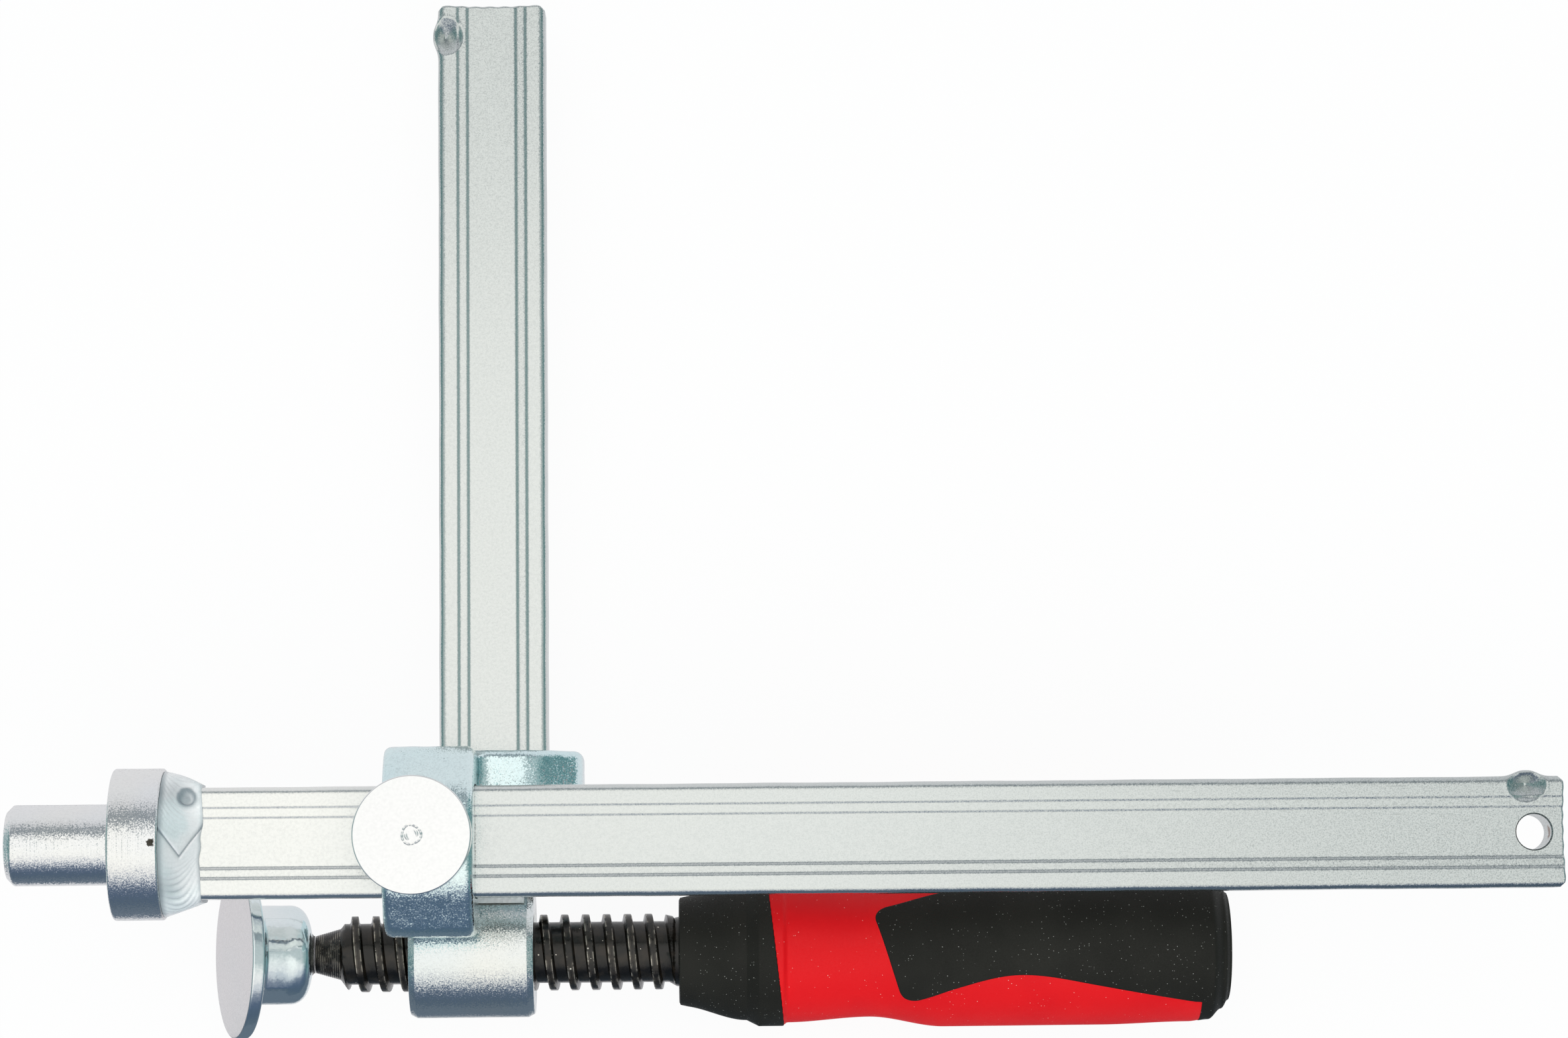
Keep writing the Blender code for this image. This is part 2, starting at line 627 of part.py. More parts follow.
def edge_angle(edge_shares, share):
    """Angle of a panel's long edge at a share of the handle's length, as a smooth curve."""
    if share <= edge_shares[0][0]:
        return edge_shares[0][1]
    last = len(edge_shares) - 1
    for index in range(last):
        near, near_angle = edge_shares[index]
        far, far_angle = edge_shares[index + 1]
        if share > far:
            continue
        before = edge_shares[max(index - 1, 0)]
        after = edge_shares[min(index + 2, last)]
        run = far - near
        part = (share - near) / run
        near_slope = (far_angle - before[1]) / (far - before[0]) * run
        far_slope = (after[1] - near_angle) / (after[0] - near) * run
        return (near_angle * (2 * part ** 3 - 3 * part ** 2 + 1)
                + near_slope * (part ** 3 - 2 * part ** 2 + part)
                + far_angle * (3 * part ** 2 - 2 * part ** 3)
                + far_slope * (part ** 3 - part ** 2))
    return edge_shares[last][1]


def handle_collar(parent, finish):
    """Front collar of soft plastic: tapered outside, bored for the screw, slanted at the rear."""
    bore = SPINDLE_DIAMETER / 2 + SEAT_GAP
    taper = COLLAR_TAPER_STATION_SHARE
    land = COLLAR_LAND_STATION_SHARE
    rear = COLLAR_STATION_SHARE * HANDLE_LENGTH
    front_wall_radius = handle_radius(COLLAR_FRONT_WALL / HANDLE_LENGTH)
    outside = handle_radius(COLLAR_STATION_SHARE)
    rings = [ring(0.0, handle_radius(0.0), ROUND_SEGMENTS),
             ring(taper * HANDLE_LENGTH, handle_radius(taper), ROUND_SEGMENTS),
             ring(land * HANDLE_LENGTH, outside, ROUND_SEGMENTS),
             ring(rear, outside, ROUND_SEGMENTS, COLLAR_SLANT),
             ring(rear, outside - SOFT_SKIN, ROUND_SEGMENTS, COLLAR_SLANT),
             ring(land * HANDLE_LENGTH, outside - SOFT_SKIN, ROUND_SEGMENTS),
             ring(taper * HANDLE_LENGTH, handle_radius(taper) - SOFT_SKIN, ROUND_SEGMENTS),
             ring(COLLAR_FRONT_WALL, max(front_wall_radius - SOFT_SKIN, bore), ROUND_SEGMENTS),
             ring(COLLAR_FRONT_WALL, bore, ROUND_SEGMENTS),
             ring(0.0, bore, ROUND_SEGMENTS)]
    if front_wall_radius - SOFT_SKIN <= bore:
        del rings[-2]
    solid("handle_collar", skin(rings, True), parent, finish=finish)


def panel_points(grow):
    """Rows of (share, angle) across each grip panel, from its front edge to the panels' tip.

    grow widens the panels by a gap for the recess that they lie in.
    """
    spread = math.degrees(grow / HANDLE_RADIUS)
    forward = grow / HANDLE_LENGTH
    corner = PANEL_CORNER / HANDLE_LENGTH
    tip = PANEL_TIP_SHARE - forward
    front_up, front_low = UPPER_EDGE_SHARES[0], LOWER_EDGE_SHARES[0]
    width = math.radians(front_low[1] - front_up[1]) * HANDLE_RADIUS
    rows = []
    for row in range(PANEL_ROWS + 1):
        along = row / PANEL_ROWS
        points = []
        for column in range(PANEL_COLUMNS + 1):
            across = (1 - math.cos(math.pi * column / PANEL_COLUMNS)) / 2
            front = front_up[0] + (front_low[0] - front_up[0]) * across - forward
            near_side = min(across, 1 - across) * width
            if near_side < PANEL_CORNER:
                bend = 1 - near_side / PANEL_CORNER
                front += corner * (1 - math.sqrt(1 - bend * bend))
            share = front + (tip - front) * along
            upper = edge_angle(UPPER_EDGE_SHARES, share) - spread
            lower = edge_angle(LOWER_EDGE_SHARES, share) + spread
            points.append((share, upper + (lower - upper) * across))
        rows.append(points)
    return rows


def grip_shell(grow, skin_depth, proud, end_floor):
    """Closed shell of the soft grip: two panels that run into one closed end.

    grow widens it all round, skin_depth is its depth below the handle's surface, proud
    lifts its outside and end_floor is where its inner end face lies.
    """
    work = bmesh.new()
    step_angle = 360.0 / PANEL_COUNT

    def vertex(share, angle, radius):
        turn = math.radians(angle)
        return work.verts.new((share * HANDLE_LENGTH, -radius * math.sin(turn),
                               radius * math.cos(turn)))

    def pair(share, angle):
        outside = handle_radius(share)
        return (vertex(share, angle, outside + proud), vertex(share, angle, outside - skin_depth))

    def quad(a, b, c, d):
        work.faces.new((a, b, c, d))

    panels = panel_points(grow)
    tip_row = []
    for panel in range(PANEL_COUNT):
        offset = panel * step_angle
        grid = [[pair(share, angle + offset) for share, angle in row] for row in panels]
        for near, far in zip(grid, grid[1:]):
            for column in range(PANEL_COLUMNS):
                for side in (0, 1):
                    quad(near[column][side], near[column + 1][side], far[column + 1][side],
                         far[column][side])
            for column in (0, PANEL_COLUMNS):
                quad(near[column][0], near[column][1], far[column][1], far[column][0])
        for column in range(PANEL_COLUMNS):
            quad(grid[0][column][0], grid[0][column + 1][0], grid[0][column + 1][1], grid[0][column][1])
        tip_row.extend(grid[-1])
        share, last_angle = panels[-1][-1]
        next_angle = panels[-1][0][1] + step_angle
        window = [pair(share, last_angle + offset + (next_angle - last_angle) * part / WINDOW_COLUMNS)
                  for part in range(1, WINDOW_COLUMNS)]
        tip_row.extend(window)
    count = len(tip_row)
    per_panel = count // PANEL_COUNT
    for index in range(count):
        if index % per_panel >= PANEL_COLUMNS:
            after = (index + 1) % count
            quad(tip_row[index][0], tip_row[after][0], tip_row[after][1], tip_row[index][1])

    angles = [math.atan2(-outer.co.y, outer.co.z) for outer, inner in tip_row]
    outer_row = [outer for outer, inner in tip_row]
    inner_row = [inner for outer, inner in tip_row]
    floor_radius = handle_radius(end_floor / HANDLE_LENGTH) - skin_depth
    outer_rings = [(share, handle_radius(share) + proud) for share, radius in END_SHARES]
    inner_rings = [(end_floor / HANDLE_LENGTH, floor_radius)]
    for rings, row in ((outer_rings, outer_row), (inner_rings, inner_row)):
        for share, radius in rings:
            fresh = [vertex(share, math.degrees(angle), radius) for angle in angles]
            for index in range(count):
                after = (index + 1) % count
                quad(row[index], row[after], fresh[after], fresh[index])
            row = fresh
        pole_station = HANDLE_LENGTH + proud if rings is outer_rings else end_floor
        pole = work.verts.new((pole_station, 0.0, 0.0))
        for index in range(count):
            work.faces.new((row[index], row[(index + 1) % count], pole))
    return work


def handle_core(parent, finish):
    """Hard body of the handle: nose under the collar, waist, and the recess for the grip."""
    bore = TANG_DIAMETER / 2 + SEAT_GAP
    depth = SOFT_SKIN + SEAT_GAP
    taper = COLLAR_TAPER_STATION_SHARE
    land = COLLAR_LAND_STATION_SHARE
    outside = handle_radius(COLLAR_STATION_SHARE)
    rear = COLLAR_STATION_SHARE * HANDLE_LENGTH + SEAT_GAP
    nose = COLLAR_FRONT_WALL + SEAT_GAP
    nose_radius = handle_radius(nose / HANDLE_LENGTH) - depth
    end = HANDLE_LENGTH - GRIP_END_WALL
    rings = [ring(COLLAR_FRONT_WALL + TANG_LENGTH + SEAT_GAP, 0, ROUND_SEGMENTS),
             ring(COLLAR_FRONT_WALL + TANG_LENGTH + SEAT_GAP, bore, ROUND_SEGMENTS),
             ring(nose, bore, ROUND_SEGMENTS), ring(nose, nose_radius, ROUND_SEGMENTS),
             ring(taper * HANDLE_LENGTH, handle_radius(taper) - depth, ROUND_SEGMENTS),
             ring(land * HANDLE_LENGTH, outside - depth, ROUND_SEGMENTS),
             ring(rear, outside - depth, ROUND_SEGMENTS, COLLAR_SLANT),
             ring(rear, handle_radius(WAIST_SHARES[4][0]), ROUND_SEGMENTS, COLLAR_SLANT)]
    waist_start = WAIST_SHARES[4][0] + COLLAR_SLANT * HANDLE_RADIUS / HANDLE_LENGTH
    for row in range(BODY_ROWS + 1):
        share = waist_start + (PANEL_TIP_SHARE - waist_start) * row / BODY_ROWS
        rings.append(ring(share * HANDLE_LENGTH, handle_radius(share), ROUND_SEGMENTS))
    rings.append(ring(end, handle_radius(end / HANDLE_LENGTH), ROUND_SEGMENTS))
    rings.append(ring(end, 0, ROUND_SEGMENTS))
    core = solid("handle_core", skin(rings), parent, finish=finish)
    recess = solid("grip_recess", grip_shell(SEAT_GAP, depth, OVERRUN, end - SEAT_GAP), parent)
    combine(core, recess, "DIFFERENCE")


def handle_grip(parent, finish):
    """Soft grip: two panels with the hard body showing between them, and the closed end."""
    floor = HANDLE_LENGTH - GRIP_END_WALL
    solid("handle_grip", grip_shell(0.0, SOFT_SKIN, 0.0, floor), parent, finish=finish)


def build():
    """Builds the clamp, one moving group after another."""
    for leftover in list(bpy.data.objects):
        bpy.data.objects.remove(leftover)

    zinc = (0.72, 0.74, 0.73)
    root = frame("clamp", None, (0, 0, 0))
    main_rail(root, material("rail zinc", zinc, 0.34, 1.0))
    table_pin(root, material("turned zinc", zinc, 0.28, 1.0))
    pin_weld(root, material("weld zinc", (0.66, 0.68, 0.70), 0.30, 1.0))

    slider = frame("slider", root, (SLIDER_MIDDLE, 0, 0))
    cross_slider(slider, material("forged zinc", (0.62, 0.67, 0.71), 0.30, 1.0))
    stud_disc(slider, material("ground disc", (0.86, 0.86, 0.85), 0.30, 1.0))

    throat = frame("throat", slider, (THROAT_OFFSET, -SCREW_DROP, -RAIL_SPACING))
    throat_pieces(throat, material("throat zinc", zinc, 0.34, 1.0))

    ball_place = (-NUT_ASIDE - NUT_LENGTH / 2 - BALL_TO_NUT, 0, 0)
    screw = frame("screw_travel", throat, ball_place)
    neck_end = ball_end(screw, material("ball black", (0.05, 0.05, 0.05), 0.40, 1.0))
    pad = frame("pad", screw, (0, 0, 0))
    pressure_pad(pad, material("pad zinc", (0.70, 0.71, 0.74), 0.32, 1.0))

    turning = frame("screw_turn", screw, (0, 0, 0))
    spindle(turning, neck_end, material("spindle black", (0.035, 0.033, 0.030), 0.38, 0.7))
    handle = frame("handle", turning, (BALL_TO_HANDLE, 0, 0))
    handle_core(handle, material("handle red", (0.72, 0.012, 0.020), 0.42, 0.0))
    handle_collar(handle, material("collar black", (0.030, 0.031, 0.029), 0.60, 0.0))
    handle_grip(handle, material("grip black", (0.026, 0.027, 0.026), 0.62, 0.0))


build()
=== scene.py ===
"""Studio scene of a variable throat clamp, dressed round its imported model.

Sizes are millimetres along the model's own axes: +X runs along the main rail away from
the table pin, +Y along the throat rail, and +Z up, out of the rails' faces.  Each surface
is worked out on whole numpy arrays and is written to its mesh in metres.
"""
import logging
import math
from dataclasses import dataclass, field
from enum import Enum
from typing import Callable, Sequence

import bmesh
import bpy
import numpy as np
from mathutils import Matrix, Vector


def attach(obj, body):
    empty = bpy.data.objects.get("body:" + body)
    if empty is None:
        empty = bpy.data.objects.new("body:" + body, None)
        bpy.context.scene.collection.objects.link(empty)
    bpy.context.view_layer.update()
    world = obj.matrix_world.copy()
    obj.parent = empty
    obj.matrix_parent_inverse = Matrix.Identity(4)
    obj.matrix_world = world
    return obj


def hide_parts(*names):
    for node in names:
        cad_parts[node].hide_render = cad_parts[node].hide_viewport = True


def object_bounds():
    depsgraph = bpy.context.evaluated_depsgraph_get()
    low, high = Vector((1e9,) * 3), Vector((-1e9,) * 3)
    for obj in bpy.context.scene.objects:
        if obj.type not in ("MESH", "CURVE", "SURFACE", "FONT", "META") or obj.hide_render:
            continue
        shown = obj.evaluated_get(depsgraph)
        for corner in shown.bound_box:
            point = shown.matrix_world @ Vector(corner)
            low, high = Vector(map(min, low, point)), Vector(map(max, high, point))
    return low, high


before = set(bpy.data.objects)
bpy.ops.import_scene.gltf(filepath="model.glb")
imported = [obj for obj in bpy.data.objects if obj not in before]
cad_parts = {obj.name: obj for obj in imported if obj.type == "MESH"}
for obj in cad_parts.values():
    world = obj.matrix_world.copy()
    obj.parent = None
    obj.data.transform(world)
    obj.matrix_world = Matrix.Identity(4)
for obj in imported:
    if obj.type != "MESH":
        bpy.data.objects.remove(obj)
CAD_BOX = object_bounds()

LOG = logging.getLogger("clamp")
MM = 0.001
TURN = 2.0 * math.pi
Array = np.ndarray
Socket = bpy.types.NodeSocket
Colour = tuple[float, float, float]
Place = tuple[float, float, float]
Sockets = dict[str, Socket]
Material = bpy.types.Material
Tree = bpy.types.NodeTree


class Body(Enum):
    """Moving groups of the clamp."""
    FIXED = "fixed_rail"
    SLIDER = "slider"
    THROAT = "throat"
    SCREW_END = "screw_end"
    SCREW = "screw"
    PAD = "pad"


class Slot(Enum):
    """Names of the clamp's material slots."""
    RAIL = "rail_zinc"
    TURNED = "turned_zinc"
    WELD = "weld_zinc"
    FORGED = "forged_zinc"
    DISC = "ground_disc"
    SCREW = "screw_black"
    PAD = "pad_zinc"
    RED = "handle_red"
    SOFT = "soft_black"


# Arrays and curves

def smoothstep(value: Array, low: float, high: float) -> Array:
    """Eased share of the way from low to high, 3t2 - 2t3."""
    share = np.clip((value - low) / (high - low), 0.0, 1.0)
    return share * share * (3.0 - 2.0 * share)


def bell(away: Array, width: float, power: float = 2.0) -> Array:
    """Bell curve that is 1 at nought, exp(-(away / width)^power)."""
    return np.exp(-(np.abs(away) / width) ** power)


def quarter_round(away: Array, radius: float) -> Array:
    """Fall of a rounded edge, r - sqrt(r2 - (r - d)2), at a distance d from it."""
    bend = np.clip(radius - away, 0.0, radius)
    return radius - np.sqrt(radius ** 2 - bend ** 2)


def soft_noise(points: Array, wave: float, seed: int) -> Array:
    """Smooth unevenness between about -1 and 1.

    Formula: the mean of twelve sine waves in fixed random directions, with lengths
    scattered round the given one.

    Args:
        points: Places, in any array whose last axis is X, Y, Z.
        wave: Typical distance between two humps.
        seed: Seed of the directions and phases.

    Returns:
        One value for each place.
    """
    count, shortest, longest, gain = 12, 0.6, 1.7, 2.2
    draw = np.random.default_rng(seed)
    directions = draw.normal(size=(count, 3))
    directions /= np.linalg.norm(directions, axis=1, keepdims=True)
    lengths = wave * draw.uniform(shortest, longest, count)
    phases = draw.uniform(0.0, TURN, count)
    waves = np.sin(points @ (directions / lengths[:, None] * TURN).T + phases)
    return waves.mean(axis=-1) * gain


def rounded_path(corners: Sequence[tuple[float, float, float]], steps: int = 6,
                 closed: bool = False) -> Array:
    """Polyline with arcs at its corners.

    Formula: each corner is replaced by the arc that touches both sides, swept evenly
    from one touching point to the other.

    Args:
        corners: (along, across, radius) of each corner.
        steps: Chords in each arc.
        closed: Whether the last corner joins the first.

    Returns:
        Points (n, 2).
    """
    pieces = []
    for index, (along, across, radius) in enumerate(corners):
        here = np.array((along, across), float)
        if radius <= 0.0 or (not closed and index in (0, len(corners) - 1)):
            pieces.append(here[None])
            continue
        back = np.array(corners[index - 1][:2], float) - here
        ahead = np.array(corners[(index + 1) % len(corners)][:2], float) - here
        back /= np.linalg.norm(back)
        ahead /= np.linalg.norm(ahead)
        half = math.acos(float(np.clip(back @ ahead, -1.0, 1.0))) / 2.0
        middle = (back + ahead) / np.linalg.norm(back + ahead)
        centre = here + middle * radius / math.sin(half)
        reach = radius / math.tan(half)
        sweep = math.pi - 2.0 * half
        share = np.linspace(0.0, 1.0, steps + 1)[:, None]
        arc = (np.sin((1.0 - share) * sweep) * (here + back * reach - centre)
               + np.sin(share * sweep) * (here + ahead * reach - centre)) / math.sin(sweep)
        pieces.append(centre + arc)
    return np.vstack(pieces)


def densify(path: Array, spacing: float, closed: bool = False) -> Array:
    """Adds points to a polyline so that they lie about the spacing apart.

    Args:
        path: Points (n, k).
        spacing: Greatest distance wanted between neighbours.
        closed: Whether the path returns to its first point.

    Returns:
        Points (m, k), with the given ones among them.
    """
    nearest = 0.35 * spacing
    line = np.vstack([path, path[:1]]) if closed else path
    run = np.concatenate([[0.0], np.cumsum(np.linalg.norm(np.diff(line, axis=0), axis=1))])
    extra = np.arange(0.0, run[-1], spacing)
    extra = extra[np.abs(extra[:, None] - run[None]).min(axis=1) > nearest]
    marks = np.sort(np.concatenate([run, extra]))
    dense = np.column_stack([np.interp(marks, run, values) for values in line.T])
    return dense[:-1] if closed else dense


def stations(*spans: tuple[float, float, float]) -> Array:
    """Sorted places from (start, end, spacing) spans, without near doubles."""
    marks = np.unique(np.round(np.concatenate(
        [np.linspace(start, end, max(2, int(math.ceil((end - start) / gap)) + 1))
         for start, end, gap in spans]), 3))
    nearest = 0.02
    return marks[np.concatenate([[True], np.diff(marks) > nearest])]


def round_x(along: Array, radius: Array, angle: Array) -> Array:
    """Points round the X axis, (x, r cos a, r sin a)."""
    return np.stack(np.broadcast_arrays(along, radius * np.cos(angle), radius * np.sin(angle)),
                    axis=-1)


def polar(points: Array) -> tuple[Array, Array]:
    """Angle round the X axis and distance from it."""
    return np.arctan2(points[..., 2], points[..., 1]), np.hypot(points[..., 1], points[..., 2])


def arc_points(middle: Sequence[float], radius: float, angle: Array) -> Array:
    """Points on a circle, (x + r cos a, y + r sin a)."""
    return np.asarray(middle) + radius * np.column_stack([np.cos(angle), np.sin(angle)])


def revolve(profile: Array, segments: int) -> Array:
    """Rings round the X axis from a profile's (x, r) points."""
    return round_x(profile[:, :1], profile[:, 1:], np.arange(segments) * TURN / segments)


# Meshes

@dataclass
class Shell:
    """Points and faces of a surface."""
    points: Array
    quads: Array
    triangles: Array = field(default_factory=lambda: np.empty((0, 3), int))

    def joined(self, *others: "Shell") -> "Shell":
        """This shell and others as one set of faces."""
        shells = (self, *others)
        first = np.cumsum([0, *(len(shell.points) for shell in shells)])
        return Shell(np.vstack([shell.points for shell in shells]),
                     np.vstack([shell.quads + start for shell, start in zip(shells, first)]),
                     np.vstack([shell.triangles + start for shell, start in zip(shells, first)]))

    def outward(self) -> "Shell":
        """The closed shell with its faces out: turned over where its volume is negative."""
        corners = np.vstack([self.triangles, self.quads[:, [0, 1, 2]], self.quads[:, [0, 2, 3]]])
        a, b, c = (self.points[corners[:, k]] for k in range(3))
        if float(np.einsum("ij,ij->i", a, np.cross(b, c)).sum()) < 0.0:
            return Shell(self.points, self.quads[:, ::-1], self.triangles[:, ::-1])
        return self

    def moved(self, shift: Sequence[float], turn: Array | None = None) -> "Shell":
        """The shell turned by a 3 x 3 matrix and then shifted."""
        points = self.points if turn is None else self.points @ np.asarray(turn).T
        return Shell(points + np.asarray(shift), self.quads, self.triangles)

    def merged(self) -> "Shell":
        """The shell with points at one place made one."""
        points, index = np.unique(np.round(self.points, 4), axis=0, return_inverse=True)
        index = index.reshape(-1)
        return Shell(points, index[self.quads], index[self.triangles])


def skin(rings: Array, loop: bool = False) -> Shell:
    """Faces over a stack of equal closed rings.

    Args:
        rings: Points (rows, columns, 3).
        loop: Whether the last ring joins the first; if not, both ends are closed by fans.

    Returns:
        The closed shell, faces out.
    """
    rows, columns = rings.shape[:2]
    points = rings.reshape(-1, 3)
    row = np.arange(rows if loop else rows - 1)[:, None] * columns
    next_row = (row + columns) % (rows * columns)
    column = np.arange(columns)[None]
    after = (column + 1) % columns
    quads = np.stack([row + column, row + after, next_row + after, next_row + column],
                     axis=-1).reshape(-1, 4)
    if loop:
        return Shell(points, quads).outward()
    here, there = column[0], after[0]
    low = np.full(columns, rows * columns)
    last = (rows - 1) * columns
    triangles = np.vstack([np.stack([low, there, here], axis=-1),
                           np.stack([low + 1, last + here, last + there], axis=-1)])
    return Shell(np.vstack([points, rings[[0, -1]].mean(axis=1)]), quads, triangles).outward()


def prism(outline: Array, start: float, end: float, axis: int) -> Shell:
    """An outline carried straight from start to end along an axis."""
    return skin(np.stack([np.insert(outline, axis, place, axis=1) for place in (start, end)]))


def thicken(outer: Shell, inner_points: Array) -> Shell:
    """Closed plate between a surface and a second set of its points.

    Formula: the surface, the same faces turned over on the second points, and one quad
    across each edge that only one face uses.

    Args:
        outer: Open surface.
        inner_points: Points of the underside, in the same order.

    Returns:
        The closed shell, faces out.
    """
    count = len(outer.points)
    edges = np.vstack([np.stack([face[:, k], np.roll(face, -1, axis=1)[:, k]], axis=-1)
                       for face in (outer.quads, outer.triangles) if len(face)
                       for k in range(face.shape[1])])
    code = edges[:, 0] * (count + 1) + edges[:, 1]
    mirror = edges[:, 1] * (count + 1) + edges[:, 0]
    rim = edges[~np.isin(code, mirror) & (edges[:, 0] != edges[:, 1])]
    walls = np.stack([rim[:, 1], rim[:, 0], rim[:, 0] + count, rim[:, 1] + count], axis=-1)
    return Shell(np.vstack([outer.points, inner_points]),
                 np.vstack([outer.quads, outer.quads[:, ::-1] + count, walls]),
                 np.vstack([outer.triangles, outer.triangles[:, ::-1] + count])).outward()


def write_mesh(name: str, shell: Shell, crease: float) -> bpy.types.Object:
    """Puts a shell into a mesh object, smooth between sharp edges.

    Args:
        name: Name of the piece.
        shell: Points in millimetres, and faces.
        crease: Angle in degrees above which an edge stays sharp.

    Returns:
        The linked object.
    """
    mesh = bpy.data.meshes.new(name)
    mesh.vertices.add(len(shell.points))
    mesh.vertices.foreach_set("co", (shell.points * MM).astype(np.float32).ravel())
    corners = np.concatenate([shell.quads.ravel(), shell.triangles.ravel()])
    sizes = np.concatenate([np.full(len(shell.quads), 4), np.full(len(shell.triangles), 3)])
    mesh.loops.add(len(corners))
    mesh.loops.foreach_set("vertex_index", corners.astype(np.int32))
    mesh.polygons.add(len(sizes))
    mesh.polygons.foreach_set("loop_start", (np.cumsum(sizes) - sizes).astype(np.int32))
    mesh.update(calc_edges=True)
    mesh.validate()
    piece = bpy.data.objects.new(name, mesh)
    bpy.context.collection.objects.link(piece)
    shade(mesh, crease)
    return piece


def shade(mesh: bpy.types.Mesh, crease: float) -> None:
    """Smooth shading between edges sharper than the crease angle."""
    mesh.shade_smooth()
    mesh.set_sharp_from_angle(angle=math.radians(crease))


def settle(piece: bpy.types.Object, crease: float) -> None:
    """Writes a piece's modifiers into its mesh and shades it again."""
    graph = bpy.context.evaluated_depsgraph_get()
    mesh = bpy.data.meshes.new_from_object(piece.evaluated_get(graph))
    piece.modifiers.clear()
    piece.data = mesh
    mesh.name = piece.name
    shade(mesh, crease)


def carve(piece: bpy.types.Object, cutters: Sequence[Shell], crease: float) -> None:
    """Cuts closed shapes out of a piece with exact Booleans, written in at once."""
    tools = [write_mesh(f"{piece.name}_tool_{index}", cutter, crease)
             for index, cutter in enumerate(cutters)]
    for tool in tools:
        step = piece.modifiers.new(tool.name, "BOOLEAN")
        step.operation = "DIFFERENCE"
        step.solver = "EXACT"
        step.object = tool
    settle(piece, crease)
    for tool in tools:
        bpy.data.objects.remove(tool)


def publish(piece: bpy.types.Object, finish: Material, body: Body, slot: Slot,
            *replaced: str) -> None:
    """Gives a finished piece its material, its moving group and the node it stands for."""
    piece.data.materials.clear()
    piece.data.materials.append(finish)
    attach(piece, body.value)
    if replaced:
        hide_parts(*replaced)
    LOG.info("%s: %d faces on %s", piece.name, len(piece.data.polygons), body.value)


def dress(node: str, shell: Shell, crease: float, finish: Material, body: Body,
          slot: Slot) -> None:
    """Publishes a shell as the piece that stands for a node and is named after it."""
    publish(write_mesh(f"{node}_dressed", shell, crease), finish, body, slot, node)


def mark_wear_and_shade(piece: bpy.types.Object, shares: Array) -> None:
    """Writes one share per point into the attribute of screw wear and weld painted shade; points
    beyond them get none.
    """
    wear_and_shade = piece.data.attributes.new("wear_and_shade", "FLOAT", "POINT")
    shares = np.pad(shares, (0, len(piece.data.vertices) - len(shares)))
    wear_and_shade.data.foreach_set("value", shares.astype(np.float32))


X_TO_Z = np.array(((0.0, 1.0, 0.0), (0.0, 0.0, 1.0), (1.0, 0.0, 0.0)))
X_TO_Y = np.array(((0.0, -1.0, 0.0), (1.0, 0.0, 0.0), (0.0, 0.0, 1.0)))


def turn_about_y(degrees: float) -> Array:
    """Matrix of a right-hand turn about Y."""
    c, s = math.cos(math.radians(degrees)), math.sin(math.radians(degrees))
    return np.array(((c, 0.0, s), (0.0, 1.0, 0.0), (-s, 0.0, c)))


# Shader trees

